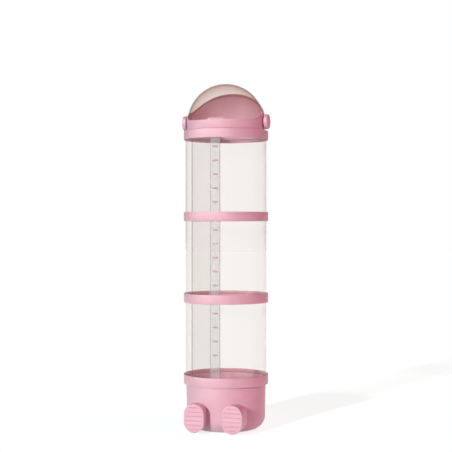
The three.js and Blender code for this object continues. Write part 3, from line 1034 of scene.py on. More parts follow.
@dataclass
class BaseTub:
    """The footed tub: shell, two legs, two ribbed soles and four leg screws."""

    tower: TowerSizes
    height: float = 214.0
    rim_height: float = 37.0
    socket_depth: float = 18.0
    step_in: float = 1.2
    taper: float = 3.5
    fillet: float = 50.0
    fillet_steps: int = 22
    floor: float = 3.0
    foot_width: float = 80.0
    foot_height: float = 109.0
    foot_angle: float = 28.5
    foot_lift: float = 9.5
    foot_steps: int = 64
    projection: float = 40.0
    sole_thickness: float = 34.0
    sole_bevel: float = 3.0
    sole_back_bevel: float = 1.0
    sole_smooth: float = 28.0
    sole_border: float = 5.0
    groove_count: int = 6
    groove_inset: float = 13.0
    groove_height: float = 3.5
    groove_depth: float = 1.5
    groove_bevel: float = 0.6
    leg_step: float = 2.0
    leg_wall: float = 3.0
    screw_height: float = 86.0
    screw_spacing: float = 34.0
    screw_head: float = 4.5
    screw_head_thickness: float = 2.8
    screw_radius: float = 2.0
    screw_length: float = 16.0
    screw_pad: float = 1.0

    @property
    def top_radius(self) -> float:
        """The tub's outer radius under its rim."""
        return self.tower.lip_outer - self.step_in

    @property
    def reach(self) -> float:
        """How far the soles' faces are in front of the tower's axis."""
        return self.top_radius + self.projection

    @property
    def foot_centre(self) -> Vector:
        """The middle of the right foot's outline, in metres, on the axis's plane."""
        across = self.top_radius * math.sin(math.radians(self.foot_angle))
        return Vector((across, 0.0, self.foot_height / 2 + self.foot_lift)) * MM

    @property
    def straight(self) -> float:
        """Half the length of a foot's straight sides."""
        return self.foot_height / 2 - self.foot_width / 2

    def outer_corners(self, gap: float = 0.0) -> list[Corner]:
        """The tub's outer face from its bottom to its rim, grown by a gap.

        Args:
            gap: The gap.

        Returns:
            The corners in order.
        """
        foot = self.top_radius - self.taper
        return [
            Corner(0.0, -gap),
            Corner(foot + gap, -gap, self.fillet + gap, self.fillet_steps),
            Corner(self.top_radius + gap, self.height - self.rim_height),
        ]

    def model_shell(self) -> bpy.types.Object:
        """Spins the tub with its hanging rim and the socket for the first sheet.

        Returns:
            The shell.
        """
        t = self.tower
        rim = self.height - self.rim_height
        ledge = self.height - self.socket_depth
        web = ledge - t.wall
        inner = self.top_radius - t.wall
        corners = self.outer_corners() + [
            Corner(self.top_radius, web, t.lip_round, 2),
            Corner(t.ring_inner, web, t.lip_round, 2),
            Corner(t.ring_inner, rim, t.lip_round, 2),
            Corner(t.ring_outer, rim, 1.0, 3),
            Corner(t.ring_outer, self.height, 1.2, 4),
            Corner(t.ring_inner, self.height, t.mouth_round, 3),
            Corner(t.ring_inner, ledge),
            Corner(t.lip_outer, ledge),
            Corner(t.lip_outer, ledge + t.lip_rise, t.lip_round, 2),
            Corner(inner, ledge + t.lip_rise, t.mouth_round, 3),
            Corner(inner, rim),
            Corner(inner - self.taper, self.floor, self.fillet - t.wall, self.fillet_steps),
            Corner(0.0, self.floor),
        ]
        return smooth(spin_round(draw_profile("base_tub_shell", corners), t.around))

    def model_leg(self) -> bpy.types.Object:
        """Makes the right leg, a hollow stadium cut to fit round the tub.

        Returns:
            The leg.
        """
        front = self.reach - self.sole_thickness - self.tower.gap
        leg = self.pulled_stadium("right_leg_shell", self.leg_step, front)
        hollow = self.pulled_stadium("leg_hollow", self.leg_step + self.leg_wall, front + self.tower.wall)
        carve(hollow, self.tub_envelope(self.tower.gap + self.leg_wall), Carve.CUT)
        carve(leg, self.tub_envelope(self.tower.gap), Carve.CUT)
        carve(leg, hollow, Carve.CUT)
        return smooth(leg)

    def pulled_stadium(self, name: str, inset: float, front: float) -> bpy.types.Object:
        """Pulls a foot's outline forward from the axis's plane.

        Args:
            name: The new object's name.
            inset: How far inside the sole's outline it is.
            front: Where it ends, in millimetres in front of the axis.

        Returns:
            The solid.
        """
        piece = stadium(name, self.foot_width - 2 * inset, self.foot_height - 2 * inset, self.foot_steps,
                        self.foot_centre)
        with editing(piece):
            pull(Vector((0.0, -front * MM, 0.0)))
            face_outwards()
        return piece

    def tub_envelope(self, gap: float) -> bpy.types.Object:
        """Spins the tub's outer face, grown by a gap, as a solid to cut with.

        Args:
            gap: The gap.

        Returns:
            The solid.
        """
        corners = self.outer_corners(gap) + [Corner(0.0, self.height - self.rim_height)]
        return spin_round(draw_profile("tub_envelope", corners), self.tower.around)

    def model_sole(self) -> bpy.types.Object:
        """Makes the right sole: a rounded cap with grooves across its face.

        Returns:
            The sole.
        """
        back = self.reach - self.sole_thickness
        centre = self.foot_centre - Vector((0.0, back * MM, 0.0))
        sole = stadium("right_sole_cap", self.foot_width, self.foot_height, self.foot_steps, centre)
        with editing(sole):
            pull(Vector((0.0, -self.sole_thickness * MM, 0.0)))
            face_outwards()
            pick_faces(lambda place, normal: normal.y < -FACING)
            bpy.ops.mesh.bevel(offset=self.sole_bevel * MM, segments=5, affect="EDGES")
            pick_faces(lambda place, normal: normal.y > FACING)
            bpy.ops.mesh.bevel(offset=self.sole_back_bevel * MM, segments=2, affect="EDGES")
        radius = self.foot_width / 2 - self.sole_border
        pitch = (self.foot_height - 2 * self.groove_inset) / (self.groove_count - 1)
        for i in range(self.groove_count):
            height = (i - (self.groove_count - 1) / 2) * pitch
            beyond = max(abs(height) + self.groove_height / 2 - self.straight, 0.0)
            half = math.sqrt(radius ** 2 - beyond ** 2)
            place = Vector((0.0, -(self.reach - self.groove_depth) * MM, height * MM))
            tool = stadium("groove", 2 * half, self.groove_height, SLIM_STEPS, self.foot_centre + place)
            with editing(tool):
                pull(Vector((0.0, -2 * self.groove_depth * MM, 0.0)))
                face_outwards()
                pick_faces(lambda place, normal: normal.y > FACING)
                bpy.ops.mesh.bevel(offset=self.groove_bevel * MM, segments=2, affect="EDGES")
            carve(sole, tool, Carve.CUT)
        return smooth(sole, self.sole_smooth)

    def in_groove(self, centre: Vector, normal: Vector) -> bool:
        """Whether a face of a sole lies in one of its grooves.

        Args:
            centre: The face's centre, in metres.
            normal: Its normal; not used.

        Returns:
            True for such a face.
        """
        across = abs(centre.x) / MM - self.foot_centre.x / MM
        beyond = max(abs(centre.z - self.foot_centre.z) / MM - self.straight, 0.0)
        inside = math.hypot(across, beyond) < self.foot_width / 2 - self.sole_border + 0.5
        depth = self.reach + centre.y / MM
        return inside and 0.1 < depth < self.groove_depth + 0.1

    def model_screw(self) -> bpy.types.Object:
        """Makes one leg screw along +X from the tower's axis, its head inside the tub.

        Returns:
            The screw.
        """
        wall = self.top_radius - self.taper * (1 - self.screw_height / (self.height - self.rim_height))
        seat = wall - self.tower.wall - self.screw_pad - self.tower.gap
        return pan_screw("leg_screw", seat, self.screw_head, self.screw_head_thickness, self.screw_radius,
                         self.screw_length)

    def build(self) -> None:
        """Makes the sub-assembly and puts it on its body."""
        dress(self.model_shell(), PINK, Body.BASE, Slot.PINK_ABS, "base_tub")
        mirror = Matrix.Scale(-1.0, 4, (1.0, 0.0, 0.0))
        leg = self.model_leg()
        sole = self.model_sole()
        dress(copy_piece(leg, "left_leg_shell", mirror), PINK, Body.BASE, Slot.PINK_ABS, "left_leg")
        dress(leg, PINK, Body.BASE, Slot.PINK_ABS, "right_leg")
        left_sole = copy_piece(sole, "left_sole_cap", mirror)
        dress(left_sole, PINK, Body.BASE, Slot.PINK_ABS, "left_sole")
        dress(sole, PINK, Body.BASE, Slot.PINK_ABS, "right_sole")
        # The grooves in both soles get painted shade
        for cap in (left_sole, sole):
            refinish(cap, GROOVE_SHADE, self.in_groove)
        screw = self.model_screw()
        half = math.degrees(self.screw_spacing / 2 / self.top_radius)
        for side in Side:
            for number, step in ((1, -1), (2, 1)):
                angle = side.value * (self.foot_angle + step * half)
                placing = (Matrix.Translation((0.0, 0.0, self.screw_height * MM))
                           @ Matrix.Rotation(math.radians(angle - 90), 4, "Z"))
                node = f"{side.word}_leg_screw_{number}"
                dress(copy_piece(screw, f"{node}_pan", placing), ZINC, Body.BASE, Slot.SCREW_STEEL, node)
        bpy.data.objects.remove(screw)


def pan_screw(name: str, seat: float, head: float, head_thickness: float, shank: float,
              length: float) -> bpy.types.Object:
    """Makes a pan-headed screw along +X, with a cross recess in its head.

    Args:
        name: The new object's name.
        seat: Where the head's flat underside is, in millimetres from the origin.
        head: The head's radius.
        head_thickness: The head's thickness.
        shank: The thread's radius.
        length: How far the thread runs beyond the seat.

    Returns:
        The screw.
    """
    top = seat - head_thickness
    corners = [
        Corner(top, 0.0),
        Corner(top, head, head_thickness * PAN_ROUND, 5),
        Corner(seat, head),
        Corner(seat, shank),
        Corner(seat + length - shank, shank),
        Corner(seat + length, 0.0),
    ]
    screw = spin_round(draw_profile(name, corners), SCREW_STEPS, Axis.X)
    deep, wide, narrow = head_thickness * RECESS_DEPTH, head * RECESS_WIDTH, head * RECESS_SLOT
    for size in ((deep, wide, narrow), (deep, narrow, wide)):
        carve(screw, block("recess", size, (top, 0.0, 0.0)), Carve.CUT)
    return smooth(screw)


def angle_of(place: Vector) -> float:
    """The angle of a place about the tower's axis.

    Args:
        place: The place.

    Returns:
        The angle from the front towards +X, in degrees.
    """
    return math.degrees(math.atan2(place.x, -place.y))


@dataclass
class ClearTube:
    """A clear sheet rolled to a tube, with the strip and the snap rivets that close its seam."""

    tower: TowerSizes
    word: str
    body: Body
    bottom: float
    first_angle: float = -41.25
    joggle_angle: float = 14.0
    joggle_lead: float = 4.0
    strip_width: float = 40.0
    strip_inset: float = 17.7
    rivet_count: int = 5
    rivet_top: float = 50.0
    rivet_bottom: float = 53.0
    head_width: float = 19.0
    head_height: float = 5.5
    head_thickness: float = 1.9
    inner_thickness: float = 1.4
    shank_width: float = 14.0
    shank_height: float = 2.6
    head_round: float = 1.3
    head_smooth: float = 40.0
    head_angle: float = 3.75
    angle_step: float = 1.5
    rows: int = 9
    strip_steps: int = 14
    strip_bevel: float = 0.2
    cut_slant: float = 0.3

    @property
    def half_strip(self) -> float:
        """Half the strip's width as an angle, in degrees."""
        return math.degrees(self.strip_width / 2 / self.tower.strip_inner)

    def step_out(self, angle: float) -> float:
        """How far the sheet has stepped out over its own first layer, at an angle from the front.

        Args:
            angle: The angle along the sheet, in degrees.

        Returns:
            The step in millimetres.
        """
        full = 360 + self.first_angle - self.joggle_lead
        share = min(max((angle - full + self.joggle_angle) / self.joggle_angle, 0.0), 1.0)
        eased = share * share * (3 - 2 * share)
        return (self.tower.sheet_thickness + self.tower.layer_gap) * eased

    def at(self, radius: float, angle: float, height: float) -> Vector:
        """A place at a radius, an angle from the front towards +X, and a height.

        Args:
            radius: The radius.
            angle: The angle, in degrees.
            height: The height.

        Returns:
            The place, in metres.
        """
        turn = math.radians(angle)
        return Vector((radius * math.sin(turn), -radius * math.cos(turn), height)) * MM

    def raise_wall(self, piece: bpy.types.Object, height: float, rows: int, thickness: float) -> None:
        """Pulls a line upwards into a wall and gives it its thickness, half to each side.

        Args:
            piece: The object that holds the line.
            height: The wall's height.
            rows: How many rows of faces it has.
            thickness: The wall's thickness.
        """
        with editing(piece):
            for _ in range(rows):
                pull(Vector((0.0, 0.0, height / rows * MM)))
            face_outwards()
        apply_modifier(piece, "SOLIDIFY", thickness=thickness * MM, offset=0.0)

    def model_sheet(self) -> bpy.types.Object:
        """Rolls the sheet, its outer end stepped out over its inner end.

        Returns:
            The sheet.
        """
        t = self.tower
        last = 360 + self.half_strip
        count = round((last - self.first_angle) / self.angle_step)
        middle = t.sheet_radius - t.sheet_thickness / 2
        places = []
        for i in range(count + 1):
            angle = self.first_angle + (last - self.first_angle) * i / count
            places.append(self.at(middle + self.step_out(angle), angle, self.bottom))
        sheet = draw_line(f"{self.word}_rolled_sheet", places)
        self.raise_wall(sheet, t.sheet_height, self.rows, t.sheet_thickness)
        return smooth(sheet)

    def is_outer(self, centre: Vector) -> bool:
        """Whether a place is on the sheet's outer layer, or on the outer face of its only one.

        Args:
            centre: The place, in metres.

        Returns:
            Whether it is further out than the middle of the gap between the layers.
        """
        return math.hypot(centre.x, centre.y) > (self.tower.sheet_radius + self.tower.layer_gap / 2) * MM

    def is_cut(self, centre: Vector, normal: Vector) -> bool:
        """Whether a face of the sheet is a sawn end or rim.

        Args:
            centre: The face's centre, in metres.
            normal: Its normal.

        Returns:
            True for such a face.
        """
        return abs(normal.dot(Vector((centre.x, centre.y, 0.0)).normalized())) < self.cut_slant

    def is_doubled(self, centre: Vector, normal: Vector) -> bool:
        """Whether a face of the sheet is on its outer layer, over the inner end.

        Args:
            centre: The face's centre, in metres.
            normal: Its normal; not used.

        Returns:
            True for such a face.
        """
        return self.is_outer(centre) and self.first_angle < angle_of(centre) < self.half_strip

    def is_scored(self, centre: Vector, normal: Vector) -> bool:
        """Whether a face of the sheet is on the score line along its inner end.

        Args:
            centre: The face's centre, in metres.
            normal: Its normal.

        Returns:
            True for such a face.
        """
        on_line = abs(angle_of(centre) - self.first_angle) < self.angle_step
        return on_line and not self.is_outer(centre) and not self.is_cut(centre, normal)

    def at_strip_edge(self, centre: Vector, normal: Vector) -> bool:
        """Whether a face of the strip is in one of its pressed edges.

        Args:
            centre: The face's centre, in metres.
            normal: Its normal; not used.

        Returns:
            True for such a face.
        """
        return abs(angle_of(centre)) > self.half_strip * (1 - 2 / self.strip_steps)

    def model_strip(self) -> bpy.types.Object:
        """Makes the curved strip that covers the seam.

        Returns:
            The strip.
        """
        t = self.tower
        middle = t.strip_inner + t.strip_thickness / 2
        low = self.bottom + self.strip_inset
        steps = self.strip_steps
        places = [
            self.at(middle, self.half_strip * (2 * i / steps - 1), low) for i in range(steps + 1)
        ]
        strip = draw_line(f"{self.word}_strip", places)
        self.raise_wall(strip, t.sheet_height - self.strip_inset, 3, t.strip_thickness)
        apply_modifier(strip, "BEVEL", width=self.strip_bevel * MM, segments=2, limit_method="ANGLE",
                       angle_limit=math.radians(60))
        return smooth(strip)

    def model_rivet(self, height: float) -> bpy.types.Object:
        """Makes a bar-headed rivet: a domed head, a shank through the seam, and an inner head.

        Args:
            height: The height of its middle.

        Returns:
            The rivet.
        """
        t = self.tower
        seat = t.strip_inner + t.strip_thickness + t.gap
        inner_face = (t.sheet_radius - t.sheet_thickness) * math.cos(math.radians(self.head_angle)) - t.gap
        rivet = stadium("rivet", self.head_width, self.head_height, SLIM_STEPS,
                        Vector((0.0, -(inner_face - self.inner_thickness), height)) * MM)
        narrow = (self.shank_width / self.head_width, 1.0, self.shank_height / self.head_height)
        wide = tuple(1 / share for share in narrow)
        with editing(rivet):
            pull(Vector((0.0, -self.inner_thickness * MM, 0.0)))
            pull(Vector((0.0, 0.0, 0.0)))
            bpy.ops.transform.resize(value=narrow)
            pull(Vector((0.0, -(seat - inner_face) * MM, 0.0)))
            pull(Vector((0.0, 0.0, 0.0)))
            bpy.ops.transform.resize(value=wide)
            pull(Vector((0.0, -self.head_thickness * MM, 0.0)))
            face_outwards()
            front = -(seat + self.head_thickness) * MM
            pick_faces(lambda place, normal: normal.y < -FACING and abs(place.y - front) < 10 * TOUCH)
            bpy.ops.mesh.bevel(offset=self.head_round * MM, segments=4, affect="EDGES")
        return smooth(rivet, self.head_smooth)

    def build(self) -> None:
        """Makes the sub-assembly and puts it on its body."""
        sheet = dress(self.model_sheet(), CLEAR, self.body, Slot.CLEAR_SHEET, f"{self.word}_sheet")
        refinish(sheet, DOUBLED, self.is_doubled)
        refinish(sheet, CUT_EDGE, self.is_cut)
        refinish(sheet, SCORE, self.is_scored)
        strip = self.model_strip()
        dress(strip, FROSTED, self.body, Slot.FROSTED_STRIP, f"{self.word}_seam_strip")
        refinish(strip, PRESSED_EDGE, self.at_strip_edge)
        top = self.bottom + self.tower.sheet_height - self.rivet_top
        pitch = (self.tower.sheet_height - self.rivet_top - self.rivet_bottom) / (self.rivet_count - 1)
        first = self.model_rivet(top)
        for number in range(1, self.rivet_count + 1):
            node = f"{self.word}_rivet_{number}"
            drop = Matrix.Translation((0.0, 0.0, -pitch * (number - 1) * MM))
            dress(copy_piece(first, f"{node}_bar", drop), RIVET, self.body, Slot.RIVET_PINK, node)
        bpy.data.objects.remove(first)


@dataclass
class JoiningRing:
    """An open ring with a socket above and below for the rolled sheets."""

    tower: TowerSizes
    word: str
    body: Body
    bottom: float
    height: float = 35.5

    def build(self) -> None:
        """Spins the ring and puts it on its body."""
        t = self.tower
        socket = (self.height - t.wall) / 2
        low = self.bottom + socket
        high = low + t.wall
        top = self.bottom + self.height
        corners = [
            Corner(t.ring_outer, self.bottom, t.edge, 4),
            Corner(t.ring_outer, top, t.edge, 4),
            Corner(t.ring_inner, top, t.mouth_round, 3),
            Corner(t.ring_inner, high),
            Corner(t.lip_outer, high),
            Corner(t.lip_outer, high + t.lip_rise, t.lip_round, 2),
            Corner(t.lip_inner, high + t.lip_rise, t.lip_round, 2),
            Corner(t.lip_inner, low - t.lip_rise, t.lip_round, 2),
            Corner(t.lip_outer, low - t.lip_rise, t.lip_round, 2),
            Corner(t.lip_outer, low),
            Corner(t.ring_inner, low),
            Corner(t.ring_inner, self.bottom, t.mouth_round, 3),
        ]
        ring = spin_round(draw_profile(f"{self.word}_joining_ring", corners, True), t.around)
        dress(smooth(ring), PINK, self.body, Slot.PINK_ABS, f"{self.word}_ring")


def on_pivot(side: Side, pivot: float) -> Matrix:
    """Where a piece made along +X from the origin goes on the pivot's axis.

    Args:
        side: The side that it goes to.
        pivot: The pivot's height.

    Returns:
        The placing.
    """
    turn = Matrix.Identity(4) if side is Side.RIGHT else Matrix.Rotation(math.pi, 4, "Z")
    return Matrix.Translation((0.0, 0.0, pivot * MM)) @ turn


def sphere_line(radius: float, start: float, end: float, steps: int, pivot: float) -> list[Corner]:
    """Points of an arc about the pivot in the XZ plane.

    Args:
        radius: The arc's radius.
        start: Its first angle from +X, in degrees.
        end: Its last angle.
        steps: How many stretches it has.
        pivot: The pivot's height.

    Returns:
        The points as corners.
    """
    points = []
    for i in range(steps + 1):
        angle = math.radians(start + (end - start) * i / steps)
        x = radius * math.cos(angle)
        points.append(Corner(0.0 if abs(x) < 0.0001 else x, pivot + radius * math.sin(angle)))
    return points


def side_prism(name: str, shape: Sequence[Span], half: float, pivot: float) -> bpy.types.Object:
    """Makes a prism across the tower from its side view.

    Args:
        name: The new object's name.
        shape: Points as distances in front of the pivot and above it.
        half: How far it reaches to each side.
        pivot: The pivot's height.

    Returns:
        The prism.
    """
    places = [Vector((-half, -ahead, pivot + up)) * MM for ahead, up in shape]
    prism = draw_line(name, places, True)
    with editing(prism):
        bpy.ops.mesh.edge_face_add()
        pull(Vector((2 * half * MM, 0.0, 0.0)))
        face_outwards()
    return prism


def arc(radius: float, start: float, end: float, steps: int, centre: Span = (0.0, 0.0)) -> list[Span]:
    """Points of an arc in the side view.

    Args:
        radius: The arc's radius.
        start: Its first angle from straight ahead, in degrees.
        end: Its last angle.
        steps: How many stretches it has.
        centre: Its centre, as distances in front of the pivot and above it.

    Returns:
        The points, as distances in front of the pivot and above it.
    """
    points = []
    for i in range(steps + 1):
        angle = math.radians(start + (end - start) * i / steps)
        points.append((centre[0] + radius * math.cos(angle), centre[1] + radius * math.sin(angle)))
    return points


@dataclass
class HelmetLid:
    """The helmet shell with its collar and face opening, and the slip washers at its pivots."""

    tower: TowerSizes
    collar_height: float = 35.0
    socket_depth: float = 16.0
    stop_rib: float = 3.0
    shoulder: float = 2.6
    shoulder_round: float = 3.0
    neck_height: float = 34.0
    step_in: float = 11.0
    back_angle: float = 127.0
    ear_radius: float = 41.0
    fillet: float = 215.0
    corner_round: float = 80.0
    boss_radius: float = 17.0
    boss_rise: float = 0.6
    stem_radius: float = 8.4
    washer_radius: float = 16.0
    washer_thickness: float = 1.5
    ear_steps: int = 28
    dome_steps: int = 44
    edge_slant: float = 0.35

    @property
    def radius(self) -> float:
        """The dome's outer radius."""
        return self.tower.ring_outer - self.step_in

    def model_shell(self) -> bpy.types.Object:
        """Spins the dome and collar, then cuts the face opening and the pivot bores.

        Returns:
            The shell.
        """
        t = self.tower
        inner = self.radius - t.wall
        top = t.lid + self.collar_height
        under = top - self.shoulder
        stop = t.lid + self.socket_depth
        inner_start = -math.degrees(math.asin((self.neck_height + self.shoulder) / inner))
        outer_start = -math.degrees(math.asin(self.neck_height / self.radius))
        inside = sphere_line(inner, 90.0, inner_start, self.dome_steps, t.pivot)
        outside = sphere_line(self.radius, outer_start, 90.0, self.dome_steps, t.pivot)
        collar = [
            Corner(t.lip_inner, under),
            Corner(t.lip_inner, stop - t.lip_rise, t.lip_round, 2),
            Corner(t.lip_outer, stop - t.lip_rise, t.lip_round, 2),
            Corner(t.lip_outer, stop),
            Corner(t.lip_outer + self.stop_rib, stop),
            Corner(t.lip_outer + self.stop_rib, under),
            Corner(t.ring_inner, under),
            Corner(t.ring_inner, t.lid, t.mouth_round, 3),
            Corner(t.ring_outer, t.lid, t.edge, 4),
            Corner(t.ring_outer, top, self.shoulder_round, 6),
        ]
        shell = spin_round(draw_profile("helmet_dome", inside + collar + outside), t.around)
        carve(shell, side_prism("opening", self.opening_shape(), 2 * self.radius, t.pivot), Carve.CUT)
        for side in Side:
            boss = self.disc("boss", self.boss_radius, inner + t.wall / 2, self.radius + self.boss_rise, side)
            carve(shell, boss, Carve.JOIN)
            bore = self.disc("bore", self.stem_radius, inner - 4 * t.wall, self.radius + 2 * t.wall, side)
            carve(shell, bore, Carve.CUT)
        return smooth(shell)

    def opening_shape(self) -> list[Span]:
        """The face opening seen from the side.

        It is a wedge over the pivot, less a round ear about it. A rounded corner joins the ear to the
        rear edge, and a wide sweep joins it to the neck's rim in front.

        Returns:
            Its corners, as distances in front of the pivot and above it.
        """
        far = 2 * self.radius
        ahead = math.sqrt((self.ear_radius + self.fillet) ** 2 - self.fillet ** 2)
        start = math.degrees(math.atan2(self.fillet, ahead))
        reach = self.ear_radius + self.corner_round
        corner_angle = self.back_angle - math.degrees(math.asin(self.corner_round / reach))
        turned = math.radians(corner_angle)
        middle = (reach * math.cos(turned), reach * math.sin(turned))
        corner = arc(self.corner_round, self.back_angle + 90, corner_angle + 180, ARC_STEPS, middle)
        ear = arc(self.ear_radius, corner_angle, start, self.ear_steps)
        sweep = arc(self.fillet, start + 180, 270, ARC_STEPS, (ahead, self.fillet))
        turn = math.radians(self.back_angle)
        back = far * math.cos(turn)
        beyond = [(far, 0.0), (far, far), (back, far), (back, far * math.sin(turn))]
        return corner + ear[1:] + sweep[1:] + beyond

    def on_opening_edge(self, centre: Vector, normal: Vector) -> bool:
        """Whether a face of the shell is the cut edge of its face opening.

        Args:
            centre: The face's centre, in metres.
            normal: Its normal.

        Returns:
            True for such a face.
        """
        from_pivot = Vector((centre.x, centre.y, centre.z - self.tower.pivot * MM))
        across = abs(normal.dot(from_pivot.normalized())) < self.edge_slant
        off_axis = math.hypot(from_pivot.y, from_pivot.z) > (self.boss_radius + 2) * MM
        return across and off_axis and from_pivot.z > -MM

    def disc(self, name: str, radius: float, start: float, end: float, side: Side) -> bpy.types.Object:
        """Makes a disc about the pivot axis between two distances from the middle.

        Args:
            name: The new object's name.
            radius: Its radius.
            start: The nearer distance.
            end: The further distance.
            side: The side that it is on.

        Returns:
            The disc.
        """
        corners = [Corner(start, 0.0), Corner(start, radius), Corner(end, radius), Corner(end, 0.0)]
        piece = spin_round(draw_profile(name, corners), DISC_STEPS, Axis.X)
        piece.data.transform(on_pivot(side, self.tower.pivot))
        return piece

    def model_washer(self) -> bpy.types.Object:
        """Makes a slip washer about the X axis.

        Returns:
            The washer.
        """
        start = self.radius + self.boss_rise + self.tower.gap
        end = start + self.washer_thickness
        corners = [
            Corner(start, self.stem_radius, 0.2, 2),
            Corner(start, self.washer_radius, 0.3, 2),
            Corner(end, self.washer_radius, 0.3, 2),
            Corner(end, self.stem_radius, 0.2, 2),
        ]
        return smooth(spin_round(draw_profile("washer", corners, True), WASHER_STEPS, Axis.X))

    def build(self) -> None:
        """Makes the sub-assembly and puts it on its body."""
        shell = dress(self.model_shell(), PINK, Body.LID, Slot.PINK_ABS, "helmet_shell")
        # The opening's cut edge gets a painted highlight
        refinish(shell, EDGE_HIGHLIGHT, self.on_opening_edge)
        place_pair(self.model_washer(), "knob_washer", "slip", self.tower.pivot, NYLON, Body.LID,
                   Slot.WHITE_NYLON)


def place_pair(piece: bpy.types.Object, node: str, ending: str, pivot: float, finish: Finish, body: Body,
               slot: Slot) -> None:
    """Puts copies of a piece made about the X axis on the pivot, right and left.

    Args:
        piece: The piece, which is removed afterwards.
        node: The end of the CAD nodes' names.
        ending: The end of the copies' names.
        pivot: The pivot's height.
        finish: What they are made of.
        body: The body they ride on.
        slot: The record's slot.
    """
    for side in Side:
        name = f"{side.word}_{node}"
        dress(copy_piece(piece, f"{name}_{ending}", on_pivot(side, pivot)), finish, body, slot, name)
    bpy.data.objects.remove(piece)


@dataclass
class VisorUnit:
    """The smoke visor with its thumb tab, and the knobs and screws that turn with it."""

    tower: TowerSizes
    lid: HelmetLid
    visor_gap: float = 1.1
    thickness: float = 2.3
    front_angle: float = -1.6
    back_angle: float = 131.0
    ear_radius: float = 24.0
    ear_steps: int = 40
    pad_radius: float = 13.0
    pad_rise: float = 1.2
    tab_width: float = 63.0
    tab_height: float = 6.0
    tab_reach: float = 6.5
    tab_bevel: float = 1.6
    knob_radius: float = 29.0
    knob_thickness: float = 16.0
    knob_round: float = 5.0
    recess_inner: float = 13.0
    recess_outer: float = 24.0
    recess_depth: float = 9.0
    stem: float = 8.0
    key: float = 10.0
    key_gap: float = 0.3
    screw_head: float = 8.0
    screw_head_thickness: float = 3.0
    screw_radius: float = 2.0
    screw_length: float = 14.0

    @property
    def outer(self) -> float:
        """The visor's outer radius."""
        return self.lid.radius - self.tower.wall - self.visor_gap

    @property
    def pad_face(self) -> float:
        """How far the inner pads' faces are from the middle."""
        return self.outer - self.thickness - self.pad_rise

    def ball(self, name: str, radius: float) -> bpy.types.Object:
        """Spins a ball about the X axis with its poles at the pivots, centred on the pivot axis.

        Args:
            name: The new object's name.
            radius: Its radius.

        Returns:
            The ball.
        """
        line = [Corner(point.x, point.z) for point in sphere_line(radius, 0.0, 180.0, BALL_ROWS, 0.0)]
        line[0] = Corner(radius, 0.0)
        line[-1] = Corner(-radius, 0.0)
        piece = spin_round(draw_profile(name, line), BALL_STEPS, Axis.X)
        piece.data.transform(Matrix.Translation((0.0, 0.0, self.tower.pivot * MM)))
        return piece

    def model_visor(self) -> bpy.types.Object:
        """Cuts the visor from a hollow ball, and adds its thumb tab and its keyed pads.

        Returns:
            The visor.
        """
        pivot = self.tower.pivot
        far = 2 * self.lid.radius
        front, back = math.radians(self.front_angle), math.radians(self.back_angle)
        shape = [
            (far * math.cos(front), far * math.sin(front)),
            (far, far),
            (far * math.cos(back), far),
            (far * math.cos(back), far * math.sin(back)),
        ] + arc(self.ear_radius, self.back_angle, 360 + self.front_angle, self.ear_steps)
        visor = self.ball("visor_shell", self.outer)
        carve(visor, side_prism("wedge", shape, 2 * self.lid.radius, pivot), Carve.KEEP)
        carve(visor, self.ball("hollow", self.outer - self.thickness), Carve.CUT)
        carve(visor, self.model_tab(), Carve.JOIN)
        for side in Side:
            pad = self.lid.disc("pad", self.pad_radius, self.pad_face, self.outer - self.thickness / 2, side)
            carve(visor, pad, Carve.JOIN)
            size = (self.lid.radius, self.key + 2 * self.key_gap, self.key + 2 * self.key_gap)
            hole = block("key_hole", size, (side.value * self.lid.radius, 0.0, pivot))
            carve(visor, hole, Carve.CUT)
        return smooth(visor)

    def model_tab(self) -> bpy.types.Object:
        """Makes the thumb tab, a rounded bar whose front follows the visor.

        Returns:
            The tab.
        """
        reach = self.outer + self.tab_reach
        low = self.tower.pivot + self.tower.gap
        tab = block("tab", (self.tab_width, reach, self.tab_height),
                    (0.0, -reach / 2, low + self.tab_height / 2), self.tab_bevel)
        under, over = low - 5, low + 20
        corners = [Corner(0.0, under), Corner(reach, under), Corner(reach, over), Corner(0.0, over)]
        front = spin_round(draw_profile("tab_front", corners), self.tower.around)
        carve(tab, front, Carve.KEEP)
        carve(tab, self.ball("tab_back", self.outer - self.thickness / 2), Carve.CUT)
        return tab

    def on_tab(self, centre: Vector, normal: Vector) -> bool:
        """Whether a face of the visor belongs to its thumb tab.

        Args:
            centre: The face's centre, in metres.
            normal: Its normal; not used.

        Returns:
            True for such a face.
        """
        from_pivot = Vector((centre.x, centre.y, centre.z - self.tower.pivot * MM))
        beyond = from_pivot.length > (self.outer + 0.2) * MM
        return beyond and centre.y < 0.0 and abs(centre.x) < self.tab_width * MM

    def model_knob(self) -> bpy.types.Object:
        """Spins a hollow-backed knob with its stem, and adds the square key.

        Returns:
            The knob.
        """
        inner = self.lid.radius + self.lid.boss_rise + self.lid.washer_thickness + 2 * self.tower.gap
        shoulder = self.outer + self.tower.gap
        outer = inner + self.knob_thickness
        corners = [
            Corner(shoulder, 0.0),
            Corner(shoulder, self.stem, 0.4, 2),
            Corner(inner, self.stem),
            Corner(inner, self.recess_inner, self.tower.lip_round, 2),
            Corner(inner + self.recess_depth, self.recess_inner),
            Corner(inner + self.recess_depth, self.recess_outer),
            Corner(inner, self.recess_outer, self.tower.lip_round, 2),
            Corner(inner, self.knob_radius, 1.2, 3),
            Corner(outer, self.knob_radius, self.knob_round, 8),
            Corner(outer, 0.0),
        ]
        knob = spin_round(draw_profile("knob", corners), KNOB_STEPS, Axis.X)
        end = self.pad_face + self.tower.gap / 2
        length = shoulder - end
        key = block("key", (2 * length, self.key, self.key), (shoulder, 0.0, 0.0))
        carve(knob, key, Carve.JOIN)
        return smooth(knob)

